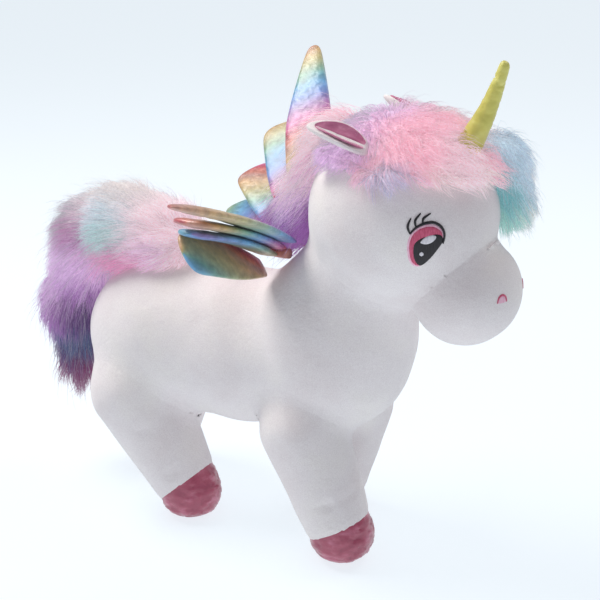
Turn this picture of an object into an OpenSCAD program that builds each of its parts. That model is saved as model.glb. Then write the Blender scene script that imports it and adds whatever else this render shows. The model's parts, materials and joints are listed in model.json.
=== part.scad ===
// Standing plush unicorn: stuffed velour body, satin hooves, horn and wings, faux-fur mane and tail.
// The nose points along +X, the floor is z = 0, and the toy's own right side is -Y.

/* [Placing] */
// Distance of the toy's middle plane from the origin, so that the box is centred
middle_y = 38; // [0:1:60]
// Shift along the nose direction, so that the box is centred
middle_x = 5; // [-40:1:60]

/* [Body] */
// Thickness of the velour skin with its backing
skin = 2.5; // [1.5:0.5:4]
// Radius of the rump
rump_r = 95; // [85:1:98]
// Height of the rump's centre
rump_z = 211; // [200:1:220]
// Distance of the rump's centre behind the middle
rump_back = 150; // [140:1:160]
// Radius of the chest
chest_r = 97; // [88:1:100]
// Height of the chest's centre
chest_z = 240; // [230:1:250]
// Distance of the chest's centre ahead of the middle
chest_ahead = 88; // [80:1:95]
// Radius of the neck where it leaves the chest
neck_base_r = 80; // [70:1:84]
// Radius of the neck under the head
neck_top_r = 62; // [55:1:66]

/* [Head] */
// Radius of the head
head_r = 98; // [92:1:102]
// Distance of the head's centre ahead of the middle
head_ahead = 172; // [165:1:180]
// Height of the head's centre
head_z = 408; // [400:1:415]
// Radius of the muzzle
muzzle_r = 59; // [54:1:62]
// Distance from the head's centre to the muzzle's centre
muzzle_out = 106; // [100:1:110]
// Angle of the muzzle below level
muzzle_dip = 44; // [38:1:50]

/* [Legs] */
// Distance of each leg from the middle plane
leg_side = 50; // [46:1:54]
// Height of the hip and shoulder centres
hip_z = 150; // [145:1:160]
// Height of the hoof seam
seam_z = 40; // [34:1:46]
// Radius of the shoulder
shoulder_r = 50; // [46:1:52]
// Radius of the thigh
thigh_r = 57; // [52:1:60]
// Radius of the ankle
ankle_r = 38; // [34:1:40]
// Radius of the hoof
hoof_r = 40; // [38:1:44]
// Rounding of the hoof's lower edge
boot_round = 13; // [8:1:13]
// Thickness of the sole disc
sole_t = 3; // [2:0.5:5]
// Radius of the sole disc
sole_r = 26; // [22:1:28]

/* [Face] */
// Direction of the eye on the head, round from the nose
eye_turn = 52; // [46:1:58]
// Radius of the rounded ends of the eye
eye_r = 20; // [17:0.5:22]
// Thickness of the embroidery
thread_t = 1.2; // [0.8:0.1:2]

/* [Ears and horn] */
// Length of an ear
ear_len = 72; // [60:1:80]
// Width of an ear
ear_w = 40; // [32:1:44]
// Thickness of the padded ear back
ear_t = 6; // [4:0.5:8]
// Length of the horn from the scalp
horn_len = 112; // [95:1:120]
// Radius of the horn's base
horn_r = 18; // [14:1:20]
// Radius of the horn's tip
horn_tip_r = 4.5; // [3:0.5:6]

/* [Wings] */
// Length of the leading feather
feather_len = 265; // [250:1:290]
// Width of the leading feather
feather_w = 58; // [50:1:62]
// Thickness of a padded feather
feather_t = 7; // [5:0.5:8]
// Distance from one feather's middle to the next at the root
feather_step = 9; // [8.5:0.5:11]
// Radius of the root roll that the feathers are sewn to
wing_root_r = 6; // [5:0.5:7]

/* [Fur] */
// Thickness of the forelock fur on the head
forelock_t = 22; // [16:1:26]
// Radius of the tail at its crest
tail_r = 50; // [44:1:52]

/* [Hidden] */
$fn = 96;
big = 600;
seam_turn = [0, 0, 67];
right = -1;
left = 1;

rump = [-rump_back, 0, rump_z];
chest = [chest_ahead, 0, chest_z];
neck_base = [100, 0, 268];
neck_top = [134, 0, 372];
waist_r = 92;
leg_facets = 24;
torso_stops = [
    [rump[0], 0, rump[2], rump_r],
    [-90, 0, 215, waist_r + 2],
    [-30, 0, 219, waist_r],
    [30, 0, 229, waist_r + 2],
    [chest[0], 0, chest[2], chest_r],
    [neck_base[0], 0, neck_base[2], neck_base_r],
    [112, 0, 310, neck_base_r - 9],
    [124, 0, 342, neck_top_r + 4],
    [neck_top[0], 0, neck_top[2], neck_top_r]
];
head = [head_ahead, 0, head_z];
muzzle_seam = muzzle_out - 12;
cheek_start = 66;

// Each leg: distance of its hip ahead of the middle, distance of its foot ahead of the middle
right_fore = [78, 124];
left_fore = [88, 66];
right_hind = [-158, -88];
left_hind = [-168, -188];

ear_place = [168, 69, 485];
ear_turn = [-38, -21, 160];
horn_base = [234, 0, 477];
horn_lean = 24;

// Each wing: root position, then for each feather its rise above level and its sweep backwards
wing_root = [42, 24, 348];
wing_root_len = 36;
right_rise = [23.5, 24, 24, 22.5];
right_sweep = [-4, 3, 4, 5];
left_rise = [47, 41, 31, 17];
left_sweep = [19, 31, 47, 57];
feather_share = [1, 0.67, 0.57, 0.5];
feather_wide = [1, 0.95, 0.9, 0.86];

mane_stops = even_stops([106, 2, 462, 40], [74, 0, 412, 26]);

side_lock_stops = even_stops([246, 50, 452, 29], [262, 60, 410, 17]);

tail_root = [-142, 0, 320];
tail_crest = [-205, 0, 335];
fur_facets = 24;
tail_base_stops = even_stops([tail_crest[0], 0, tail_crest[2], tail_r], [tail_root[0], 0, tail_root[2], 34]);
tail_brush_stops = concat(
    even_stops([-256, 0, 300, tail_r - 14], [-287, 0, 222, 31], 4),
    even_stops([-287, 0, 222, 31], [-291, 0, 118, 15], 4)
);
tail_skin = 8;
tail_gap = 1;

velour = "#ece6e6";
stuffing = "#f7f7f4";
rose_satin = "#a5506c";
ear_pink = "#be6e96";
horn_gold = "#bcb85c";
fur_pink = "#e8a8c8";
fur_mauve = "#b98ccf";
crimson = "#c83c5f";
black_thread = "#17131a";
white_thread = "#f4f2f6";
feather_colours = ["#d8a15f", "#d4617c", "#6fae9a", "#5b86c4"];

// ---------- helpers ----------

// Puts a shape that is measured from the toy's middle into the part's frame
module place() translate([middle_x, middle_y, 0]) children();

// Half outline of a ball-ended taper: a ball of radius r1 at the start, one of radius r2 at the end,
// and a straight side that meets both smoothly
module taper_outline(long, r1, r2) {
    slope = asin((r1 - r2) / long);
    intersection() {
        union() {
            circle(r1);
            translate([0, long]) circle(r2);
            polygon([[0, r1 * sin(slope)], [r1 * cos(slope), r1 * sin(slope)],
                [r2 * cos(slope), long + r2 * sin(slope)], [0, long + r2 * sin(slope)]]);
        }
        translate([0, -r1]) square([r1 + r2, long + r1 + r2]);
    }
}

// Points a shape that stands along +Z from one point towards another
module along(from, to) {
    d = to - from;
    translate(from) rotate([0, acos(d[2] / norm(d)), atan2(d[1], d[0])]) rotate(seam_turn) children();
}

// A solid ball-ended taper, inset everywhere by the same amount
module limb(from, to, r1, r2, inset = 0)
    along(from, to) rotate_extrude() taper_outline(norm(to - from), r1 - inset, r2 - inset);

// A soft solid through a list of balls, each [x, y, z, radius]
module chain(stops, inset, facets = 28)
    for (i = [1:len(stops) - 1])
        hull()
            for (stop = [stops[i - 1], stops[i]])
                translate([stop[0], stop[1], stop[2]]) sphere(stop[3] - inset, $fn = facets);

// The stops of a chain that runs evenly from one ball to another
function even_stops(from, to, steps = 8) = [for (i = [0:steps]) from + (to - from) * i / steps];

// Everything on one side of the middle plane: side is right or left
module half(side) translate([-big, side == left ? 0 : -big, -big]) cube([2 * big, big, 2 * big]);

module ball(at, r) translate(at) rotate(seam_turn) sphere(r);

// ---------- body ----------

module torso_volume(inset) chain(torso_stops, inset);

module torso_skin(side)
    color(velour)
        intersection() {
            difference() {
                torso_volume(0);
                torso_volume(skin);
                head_volume(-0.6);
            }
            half(side);
        }

module torso_skin_right() place() torso_skin(right);
module torso_skin_left() place() torso_skin(left);

module torso_fill()
    color(stuffing) place()
        difference() {
            torso_volume(skin);
            head_volume(-0.6);
        }

// ---------- head ----------

// Turns a shape that points along +Z to point down the muzzle
module down_muzzle() translate(head) rotate([0, 90 + muzzle_dip, 0]) rotate(seam_turn) children();

// Half outline of the head about the muzzle's axis, with the cheeks tapering to the muzzle seam
module head_outline(inset)
    intersection() {
        union() {
            circle(head_r - inset);
            polygon([[0, cheek_start], [head_r - 26 - inset, cheek_start],
                [muzzle_r - 1 - inset, muzzle_seam], [0, muzzle_seam]]);
        }
        translate([0, -head_r]) square(2 * head_r);
    }

module head_volume(inset) down_muzzle() rotate_extrude() head_outline(inset);

module head_skin(side)
    color(velour)
        intersection() {
            difference() {
                down_muzzle()
                    rotate_extrude()
                        difference() {
                            head_outline(0);
                            head_outline(skin);
                            translate([0, cheek_start]) square([muzzle_r - 1 - skin, head_r]);
                        }
                limb(neck_base, neck_top, neck_base_r, neck_top_r, skin + 4);
            }
            half(side);
        }

module head_skin_right() place() head_skin(right);
module head_skin_left() place() head_skin(left);

module muzzle_outline(inset)
    intersection() {
        translate([0, muzzle_out]) circle(muzzle_r - inset);
        translate([0, muzzle_seam]) square(2 * muzzle_r);
    }

module muzzle_skin()
    color(velour) place()
        down_muzzle()
            rotate_extrude()
                difference() {
                    muzzle_outline(0);
                    muzzle_outline(skin);
                }

module head_fill()
    color(stuffing) place()
        down_muzzle()
            rotate_extrude() {
                head_outline(skin);
                translate([0, -0.01]) muzzle_outline(skin);
            }

// ---------- legs ----------

function hip_of(leg, side) = [leg[0], side * leg_side, hip_z];

// The leg's lower end, carried on past the hoof seam so that the leg meets the hoof squarely
function foot_of(leg, side) =
    [leg[1] + (leg[1] - leg[0]) * 0.2, side * leg_side, seam_z - ankle_r];

function leg_stops(leg, side, hip_r) =
    let (hip = hip_of(leg, side), foot = foot_of(leg, side))
        even_stops([hip[0], hip[1], hip[2], hip_r], [foot[0], foot[1], foot[2], ankle_r]);

// Keeps what lies outside the torso, above the hoof seam and on the leg's own side of the middle,
// so that a pair of thighs meet flat
module leg_trim(side)
    intersection() {
        difference() {
            children();
            torso_volume(-0.3);
        }
        translate([-big, side == left ? 0.5 : -big - 0.5, seam_z]) cube([2 * big, big, big]);
    }

module leg_skin(leg, side, hip_r)
    color(velour)
        leg_trim(side)
            difference() {
                chain(leg_stops(leg, side, hip_r), 0, leg_facets);
                chain(leg_stops(leg, side, hip_r), skin, leg_facets);
            }

module on_foot(leg, side) translate([leg[1], side * leg_side, 0]) rotate(seam_turn) children();

// Half outline of a hoof with a rounded lower edge
module boot_outline(inset)
    intersection() {
        union() {
            translate([hoof_r - boot_round, boot_round]) circle(boot_round - inset);
            translate([0, inset]) square([hoof_r - boot_round, seam_z - inset]);
            translate([0, boot_round]) square([hoof_r - inset, seam_z - boot_round]);
        }
        square([hoof_r, seam_z]);
    }

module leg_fill(leg, side, hip_r)
    color(stuffing) {
        leg_trim(side) chain(leg_stops(leg, side, hip_r), skin + 0.2, leg_facets);
        on_foot(leg, side)
            rotate_extrude($fn = leg_facets)
                difference() {
                    boot_outline(skin + 0.2, $fn = leg_facets);
                    square([big, sole_t]);
                }
    }

module hoof(leg, side)
    color(rose_satin)
        on_foot(leg, side)
            rotate_extrude()
                difference() {
                    boot_outline(0);
                    boot_outline(skin);
                    square([sole_r, sole_t]);
                }

module sole(leg, side)
    color(rose_satin) on_foot(leg, side) cylinder(h = sole_t, r = sole_r);

module right_fore_leg_skin() place() leg_skin(right_fore, right, shoulder_r);
module right_fore_leg_fill() place() leg_fill(right_fore, right, shoulder_r);
module right_fore_hoof() place() hoof(right_fore, right);
module right_fore_sole() place() sole(right_fore, right);
module left_fore_leg_skin() place() leg_skin(left_fore, left, shoulder_r);
module left_fore_leg_fill() place() leg_fill(left_fore, left, shoulder_r);
module left_fore_hoof() place() hoof(left_fore, left);
module left_fore_sole() place() sole(left_fore, left);
module right_hind_leg_skin() place() leg_skin(right_hind, right, thigh_r);
module right_hind_leg_fill() place() leg_fill(right_hind, right, thigh_r);
module right_hind_hoof() place() hoof(right_hind, right);
module right_hind_sole() place() sole(right_hind, right);
module left_hind_leg_skin() place() leg_skin(left_hind, left, thigh_r);
module left_hind_leg_fill() place() leg_fill(left_hind, left, thigh_r);
module left_hind_hoof() place() hoof(left_hind, left);
module left_hind_sole() place() sole(left_hind, left);

// ---------- ears ----------

// Leaf outline from the origin along +X, from two arcs that meet at both ends
module leaf(long, wide) {
    arc_r = (long * long / 4 + wide * wide / 4) / wide;
    intersection() {
        translate([long / 2, arc_r - wide / 2]) circle(arc_r);
        translate([long / 2, wide / 2 - arc_r]) circle(arc_r);
    }
}

module ear_frame() place() translate(ear_place) rotate(ear_turn) children();

module ear_back()
    color(velour)
        ear_frame()
            difference() {
                union() {
                    linear_extrude(ear_t) leaf(ear_len, ear_w);
                    translate([6, -9, ear_t / 2]) rotate([-90, 0, 0]) cylinder(h = 18, r = ear_t / 2);
                }
                translate([8, 0, ear_t - 2]) linear_extrude(ear_t) leaf(ear_len - 14, ear_w - 12);
            }

module ear_lining()
    color(ear_pink)
        ear_frame()
            translate([8, 0, ear_t - 2]) linear_extrude(2) leaf(ear_len - 14, ear_w - 12);

module mirror_to_right() translate([0, middle_y, 0]) mirror([0, 1, 0]) translate([0, -middle_y, 0]) children();

module right_ear_back() mirror_to_right() ear_back();
module right_ear_lining() mirror_to_right() ear_lining();
module left_ear_back() ear_back();
module left_ear_lining() ear_lining();

// ---------- horn ----------

module horn_volume(inset)
    translate(horn_base)
        rotate([0, horn_lean, 0]) {
            cylinder(h = horn_len - horn_tip_r, r1 = horn_r - inset, r2 = horn_tip_r - inset);
            translate([0, 0, horn_len - horn_tip_r]) sphere(horn_tip_r - inset);
        }

module horn_cover()
    color(horn_gold) place()
        difference() {
            horn_volume(0);
            horn_volume(1.5);
            head_volume(0);
        }

module horn_fill()
    color(stuffing) place()
        difference() {
            horn_volume(1.5);
            head_volume(0);
        }

// ---------- mane ----------

module mane_crest()
    color(fur_mauve) place()
        difference() {
            chain(mane_stops, 0);
            torso_volume(-0.4);
            head_volume(-1.2, $fn = 48);
        }

// The block that the forelock fills, tilted forwards
module brow_block() translate([210, 0, 452]) rotate([0, 25, 0]) translate([-100, -95, 0]) cube([220, 190, 120]);

module forelock()
    color(fur_pink) place()
        difference() {
            intersection() {
                ball(head + [2, 0, 2], head_r + forelock_t);
                brow_block();
            }
            head_volume(0);
            translate(horn_base) rotate([0, horn_lean, 0]) cylinder(h = big, r = horn_r + 1, center = true);
            limb([106, 2, 462], [74, 0, 412], 41, 27);
            for (side = [right, left])
                translate([60, side == left ? 50 : -150, 440]) cube([135, 100, 200]);
        }

// The lock of fur that hangs from the forelock over the left side of the brow
module side_lock()
    color(fur_pink) place()
        difference() {
            chain(side_lock_stops, 0, fur_facets);
            ball(head, head_r + 3, $fn = 48);
            brow_block();
        }

// ---------- tail ----------

module tail_base_volume(inset)
    difference() {
        chain(tail_base_stops, inset, fur_facets);
        translate([tail_root[0], -big / 2, 0]) cube([big, big, big]);
        torso_volume(-2 - inset);
    }

// Room round the crest, so that the brush can swing on it
module crest_room() ball(tail_crest, tail_r + tail_gap, $fn = 32);

module tail_base_fur()
    color(fur_pink) place()
        difference() {
            tail_base_volume(0);
            tail_base_volume(tail_skin);
        }

module tail_base_fill() color(stuffing) place() tail_base_volume(tail_skin);

// The cover of the brush is open towards the crest, where its stuffing joins on
module tail_brush_fur()
    color(fur_mauve) place()
        difference() {
            chain(tail_brush_stops, 0, fur_facets);
            chain(tail_brush_stops, tail_skin, fur_facets);
            crest_room();
        }

module tail_brush_fill()
    color(stuffing) place()
        difference() {
            chain(tail_brush_stops, tail_skin, fur_facets);
            crest_room();
        }

// ---------- wings ----------

// Half width of a feather at a share t of its length
function feather_half(t, wide) = wide / 2 * (0.42 + 0.58 * sin(180 * min(1, 0.12 + t))) * sqrt(1 - pow(t, 5));

function feather_outline(long, wide, steps = 24) = concat(
    [for (i = [0:steps]) [long * i / steps, feather_half(i / steps, wide)]],
    [for (i = [steps - 1:-1:0]) [long * i / steps, -feather_half(i / steps, wide)]]
);

// One feather lying along its own +X, before it is turned into the wing
module feather_plate(i, inset) {
    long = feather_len * feather_share[i] - 2 * inset;
    wide = feather_w * feather_wide[i] - 2 * inset;
    translate([inset, 0, inset - feather_t / 2])
        linear_extrude(feather_t - 2 * inset) polygon(feather_outline(long, wide));
}

// Carries a feather to its place on the wing of one side
module on_wing(i, side) {
    rise = side == left ? left_rise : right_rise;
    sweep = side == left ? left_sweep : right_sweep;
    place()
        translate([wing_root[0] - i * 9, side * wing_root[1], wing_root[2]])
            rotate([side * rise[i], 0, 0])
                rotate([0, 0, side * (90 + sweep[i])])
                    translate([wing_root_r + 1, 0, feather_step * (1.5 - i)])
                        children();
}

// The roll that a wing's feathers are sewn to, with room round it on every side
module roll_volume(side, room)
    place()
        translate([wing_root[0] + 5 + room, side * wing_root[1], wing_root[2]])
            rotate([0, -90, 0])
                rotate(seam_turn) cylinder(h = wing_root_len + 2 * room, r = wing_root_r + room);

module feather(i, side)
    color(feather_colours[i])
        difference() {
            on_wing(i, side) feather_plate(i, 0);
            on_wing(i, side) feather_plate(i, 1);
            roll_volume(side, 0.5);
        }

module wing_wadding(side)
    color(stuffing)
        difference() {
            for (i = [0:3])
                on_wing(i, side) feather_plate(i, 1);
            roll_volume(side, 0.5);
        }

module wing_roll(side) color(feather_colours[1]) roll_volume(side, 0);

module right_wing_root() wing_roll(right);
module right_feather_1() feather(0, right);
module right_feather_2() feather(1, right);
module right_feather_3() feather(2, right);
module right_feather_4() feather(3, right);
module right_wing_wadding() wing_wadding(right);
module left_wing_root() wing_roll(left);
module left_feather_1() feather(0, left);
module left_feather_2() feather(1, left);
module left_feather_3() feather(2, left);
module left_feather_4() feather(3, left);
module left_wing_wadding() wing_wadding(left);

// ---------- embroidery ----------

// The outline of the eye: a circle drawn out upwards
module eye_outline(r, stretch) {
    translate([0, stretch]) circle(r);
    translate([0, -stretch]) circle(r);
    square([2 * r, 2 * stretch], center = true);
}

// Lays a flat outline on a ball as a raised layer of thread, at an angle round and above level
module stitched(centre, r, round, up)
    place()
        translate(centre)
            intersection() {
                rotate([0, -up, round]) rotate([90, 0, 90]) linear_extrude(r + 20) children();
                difference() {
                    sphere(r + thread_t);
                    sphere(r);
                }
            }

module eye_layer(side)
    stitched(head, head_r, side * eye_turn, -1) mirror([side == left ? 1 : 0, 0]) children();

module pupil_outline() translate([4, -3]) circle(14);
module glint_outline() {
    translate([3, 4]) circle(5.5);
    translate([-4, -12]) circle(2.4);
}

module eye_iris(side)
    color(crimson)
        eye_layer(side)
            difference() {
                eye_outline(eye_r, 4);
                pupil_outline();
                glint_outline();
            }

module eye_pupil(side)
    color(black_thread)
        eye_layer(side)
            difference() {
                pupil_outline();
                glint_outline();
            }

module eye_glint(side) color(white_thread) eye_layer(side) glint_outline();

module eye_lashes(side)
    color(black_thread)
        eye_layer(side) {
            difference() {
                eye_outline(eye_r + 3, 4);
                eye_outline(eye_r, 4);
                translate([-big / 2, -big]) square([big, big + 10]);
            }
            for (i = [0:2])
                rotate(62 - 20 * i)
                    polygon([[0, eye_r + 6], [3.4, eye_r + 6], [-3, eye_r + 17]]);
        }

module right_eye_iris() eye_iris(right);
module right_eye_pupil() eye_pupil(right);
module right_eye_glint() eye_glint(right);
module right_eye_lashes() eye_lashes(right);
module left_eye_iris() eye_iris(left);
module left_eye_pupil() eye_pupil(left);
module left_eye_glint() eye_glint(left);
module left_eye_lashes() eye_lashes(left);

module nostril(side)
    color(crimson)
        stitched(head + muzzle_out * [cos(muzzle_dip), 0, -sin(muzzle_dip)], muzzle_r, side * 29, 8)
            difference() {
                circle(7);
                circle(5);
                translate([-10, -20]) square([20, 20]);
            }

module right_nostril() nostril(right);
module left_nostril() nostril(left);

torso_skin_right();
torso_skin_left();
torso_fill();
head_skin_right();
head_skin_left();
muzzle_skin();
head_fill();
right_fore_leg_skin();
right_fore_leg_fill();
right_fore_hoof();
right_fore_sole();
left_fore_leg_skin();
left_fore_leg_fill();
left_fore_hoof();
left_fore_sole();
right_hind_leg_skin();
right_hind_leg_fill();
right_hind_hoof();
right_hind_sole();
left_hind_leg_skin();
left_hind_leg_fill();
left_hind_hoof();
left_hind_sole();
right_ear_back();
right_ear_lining();
left_ear_back();
left_ear_lining();
horn_cover();
horn_fill();
mane_crest();
forelock();
side_lock();
tail_base_fur();
tail_base_fill();
tail_brush_fur();
tail_brush_fill();
right_wing_root();
right_feather_1();
right_feather_2();
right_feather_3();
right_feather_4();
right_wing_wadding();
left_wing_root();
left_feather_1();
left_feather_2();
left_feather_3();
left_feather_4();
left_wing_wadding();
right_eye_iris();
right_eye_pupil();
right_eye_glint();
right_eye_lashes();
left_eye_iris();
left_eye_pupil();
left_eye_glint();
left_eye_lashes();
right_nostril();
left_nostril();
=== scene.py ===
import json
import math

import bmesh
import bpy
import numpy as np
from mathutils import Matrix, Vector, noise
from mathutils.kdtree import KDTree


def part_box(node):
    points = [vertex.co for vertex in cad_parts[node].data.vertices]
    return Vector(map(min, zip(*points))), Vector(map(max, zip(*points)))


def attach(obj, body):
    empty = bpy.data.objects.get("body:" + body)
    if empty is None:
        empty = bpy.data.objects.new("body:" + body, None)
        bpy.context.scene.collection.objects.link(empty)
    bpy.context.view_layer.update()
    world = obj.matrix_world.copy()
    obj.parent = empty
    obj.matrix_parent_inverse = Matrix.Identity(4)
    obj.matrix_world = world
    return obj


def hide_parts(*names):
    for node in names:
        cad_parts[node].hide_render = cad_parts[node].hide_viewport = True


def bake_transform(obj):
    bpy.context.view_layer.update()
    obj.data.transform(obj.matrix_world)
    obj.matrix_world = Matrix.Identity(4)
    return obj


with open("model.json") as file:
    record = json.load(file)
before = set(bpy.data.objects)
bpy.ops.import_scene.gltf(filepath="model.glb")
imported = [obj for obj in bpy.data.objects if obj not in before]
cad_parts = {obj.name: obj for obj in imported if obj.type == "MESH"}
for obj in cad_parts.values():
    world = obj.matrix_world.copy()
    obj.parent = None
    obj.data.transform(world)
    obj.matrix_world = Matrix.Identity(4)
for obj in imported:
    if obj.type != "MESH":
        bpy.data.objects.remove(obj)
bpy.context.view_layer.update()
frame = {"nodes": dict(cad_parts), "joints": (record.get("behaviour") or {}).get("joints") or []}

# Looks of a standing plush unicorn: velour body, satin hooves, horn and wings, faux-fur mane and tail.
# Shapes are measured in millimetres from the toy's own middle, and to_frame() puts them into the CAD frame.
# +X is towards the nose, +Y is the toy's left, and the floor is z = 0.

scene = bpy.context.scene

# ---------- the toy's own frame ----------

MM = 0.001
RIGHT = -1
LEFT = 1
SIDE_NAMES = {RIGHT: "right", LEFT: "left"}
DOWN = np.array([0.0, 0.0, -1.0])


def middle(node):
    """The middle of a CAD node's box, in metres."""
    low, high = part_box(node)
    return (low + high) / 2


FORE_FOOT_AHEAD = 124
ORIGIN = np.array([middle("right_fore_sole").x - FORE_FOOT_AHEAD * MM, middle("torso_fill").y, 0.0])


def to_frame(points):
    """Millimetres from the toy's middle to metres in the CAD frame."""
    return np.asarray(points, float) * MM + ORIGIN


def to_toy(points):
    """Metres in the CAD frame to millimetres from the toy's middle."""
    return (np.asarray(points, float) - ORIGIN) / MM


def unit(vectors):
    """Vectors of length 1, along the last axis."""
    vectors = np.asarray(vectors, float)
    return vectors / np.maximum(np.linalg.norm(vectors, axis=-1, keepdims=True), 1e-9)


# ---------- camera, floor and light ----------

VIEW_TARGET = (44, 0, 285)
VIEW_AZIMUTH = math.radians(30)
VIEW_ELEVATION = math.radians(20)
VIEW_DISTANCE = 1.5
LENS = 78.26
# Each light: name, place in metres, power, size, colour
LIGHTS = [
    ("key", (-1.3, -0.1, 2.1), 46, 1.1, (1.0, 0.97, 0.93)),
    ("front_fill", (0.3, -2.0, 0.8), 4, 1.8, (0.95, 0.93, 1.0)),
    ("back", (0.7, 1.2, 1.9), 14, 1.2, (1.0, 0.97, 0.95)),
]
WORLD_COLOUR = (0.90, 0.91, 1.0, 1.0)
WORLD_STRENGTH = 0.27
FLOOR_COLOUR = (0.22, 0.235, 0.25, 1.0)
FLOOR_GLOW = (0.87, 0.945, 1.0, 1.0)
FLOOR_GLOW_STRENGTH = 0.84
FLOOR_HALF = 20.0


def add_object(name, data):
    obj = bpy.data.objects.new(name, data)
    scene.collection.objects.link(obj)
    return obj


def look_at(obj, target):
    obj.rotation_euler = (Vector(target) - obj.location).to_track_quat("-Z", "Y").to_euler()


def make_camera():
    camera = add_object("camera", bpy.data.cameras.new("camera"))
    camera.data.lens = LENS
    target = Vector(to_frame(VIEW_TARGET))
    level = VIEW_DISTANCE * math.cos(VIEW_ELEVATION)
    camera.location = target + Vector((level * math.sin(VIEW_AZIMUTH), -level * math.cos(VIEW_AZIMUTH),
                                       VIEW_DISTANCE * math.sin(VIEW_ELEVATION)))
    look_at(camera, target)
    scene.camera = camera


def area_light(name, place, power, size, colour):
    light = bpy.data.lights.new(name, "AREA")
    light.energy = power
    light.size = size
    light.color = colour
    obj = add_object(name, light)
    obj.location = place
    look_at(obj, to_frame(VIEW_TARGET))


def make_studio():
    for light in LIGHTS:
        area_light(*light)
    world = bpy.data.worlds.new("studio")
    world.use_nodes = True
    background = world.node_tree.nodes["Background"]
    background.inputs["Color"].default_value = WORLD_COLOUR
    background.inputs["Strength"].default_value = WORLD_STRENGTH
    scene.world = world
    scene.view_settings.view_transform = "Standard"
    floor_mesh = bpy.data.meshes.new("floor")
    corners = [(x * FLOOR_HALF, y * FLOOR_HALF, 0) for x, y in ((-1, -1), (1, -1), (1, 1), (-1, 1))]
    floor_mesh.from_pydata(corners, [], [(0, 1, 2, 3)])
    floor = add_object("floor", floor_mesh)
    floor_material = bpy.data.materials.new("floor_paper")
    floor_material.use_nodes = True
    shader = floor_material.node_tree.nodes["Principled BSDF"]
    shader.inputs["Base Color"].default_value = FLOOR_COLOUR
    shader.inputs["Roughness"].default_value = 0.9
    shader.inputs["Emission Color"].default_value = FLOOR_GLOW
    shader.inputs["Emission Strength"].default_value = FLOOR_GLOW_STRENGTH
    floor_mesh.materials.append(floor_material)


# ---------- materials ----------


def linear(colour):
    """A colour of 0 to 255 display values as the linear values that shaders use."""
    c = np.asarray(colour, float) / 255
    return np.where(c <= 0.04045, c / 12.92, ((c + 0.055) / 1.055) ** 2.4)


class Finish:
    """A material being built: a principled shader and short ways to add nodes to it."""

    def __init__(self, name, roughness, sheen=0.0, sheen_roughness=0.4, specular=0.3):
        self.material = bpy.data.materials.new(name)
        self.material.use_nodes = True
        self.tree = self.material.node_tree
        self.shader = self.tree.nodes["Principled BSDF"]
        self.shader.inputs["Roughness"].default_value = roughness
        self.shader.inputs["Sheen Weight"].default_value = sheen
        self.shader.inputs["Sheen Roughness"].default_value = sheen_roughness
        self.shader.inputs["Specular IOR Level"].default_value = specular
        self.place = self.tree.nodes.new("ShaderNodeTexCoord").outputs["Object"]

    def link(self, output, socket):
        self.tree.links.new(output, socket)

    def noise(self, scale, detail=2.0, stretch=None):
        """Noise over the object's own coordinates. Scale is in cells per metre."""
        node = self.tree.nodes.new("ShaderNodeTexNoise")
        node.inputs["Scale"].default_value = scale
        node.inputs["Detail"].default_value = detail
        place = self.place
        if stretch:
            mapping = self.tree.nodes.new("ShaderNodeMapping")
            mapping.inputs["Scale"].default_value = stretch
            self.link(place, mapping.inputs["Vector"])
            place = mapping.outputs["Vector"]
        self.link(place, node.inputs["Vector"])
        return node.outputs["Fac"]

    def ramp(self, value, stops):
        """A colour ramp of (position, display colour) stops."""
        node = self.tree.nodes.new("ShaderNodeValToRGB")
        elements = node.color_ramp.elements
        for i, (at, colour) in enumerate(stops):
            element = elements[i] if i < 2 else elements.new(at)
            element.position = at
            element.color = (*linear(colour), 1.0)
        self.link(value, node.inputs["Fac"])
        return node.outputs["Color"]

    def mix(self, a, b, factor, blend="MIX"):
        """Mixes two colours. Each input is an output to link or a plain value."""
        node = self.tree.nodes.new("ShaderNodeMix")
        node.data_type = "RGBA"
        node.blend_type = blend
        for value, socket in ((factor, node.inputs[0]), (a, node.inputs[6]), (b, node.inputs[7])):
            if isinstance(value, bpy.types.NodeSocket):
                self.link(value, socket)
            elif socket == node.inputs[0]:
                socket.default_value = value
            else:
                socket.default_value = (*value, 1.0)
        return node.outputs[2]

    def math(self, kind, a, b):
        node = self.tree.nodes.new("ShaderNodeMath")
        node.operation = kind
        for value, socket in ((a, node.inputs[0]), (b, node.inputs[1])):
            if isinstance(value, bpy.types.NodeSocket):
                self.link(value, socket)
            else:
                socket.default_value = value
        return node.outputs[0]

    def attribute(self, name, output="Color"):
        node = self.tree.nodes.new("ShaderNodeAttribute")
        node.attribute_name = name
        return node.outputs[output]

    def spread(self, value, low, high):
        """Stretches a noise value of about 0.3 to 0.7 to run from low to high."""
        node = self.tree.nodes.new("ShaderNodeMapRange")
        node.inputs["From Min"].default_value = 0.3
        node.inputs["From Max"].default_value = 0.7
        node.inputs["To Min"].default_value = low
        node.inputs["To Max"].default_value = high
        self.link(value, node.inputs["Value"])
        return node.outputs["Result"]

    def colour(self, value):
        self.link(value, self.shader.inputs["Base Color"])

    def bump(self, heights):
        """Bumps from (height output, depth in metres) pairs, stacked."""
        normal = None
        for height, depth in heights:
            node = self.tree.nodes.new("ShaderNodeBump")
            node.inputs["Strength"].default_value = 1.0
            node.inputs["Distance"].default_value = depth
            self.link(height, node.inputs["Height"])
            if normal is not None:
                self.link(normal, node.inputs["Normal"])
            normal = node.outputs["Normal"]
        self.link(normal, self.shader.inputs["Normal"])


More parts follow.
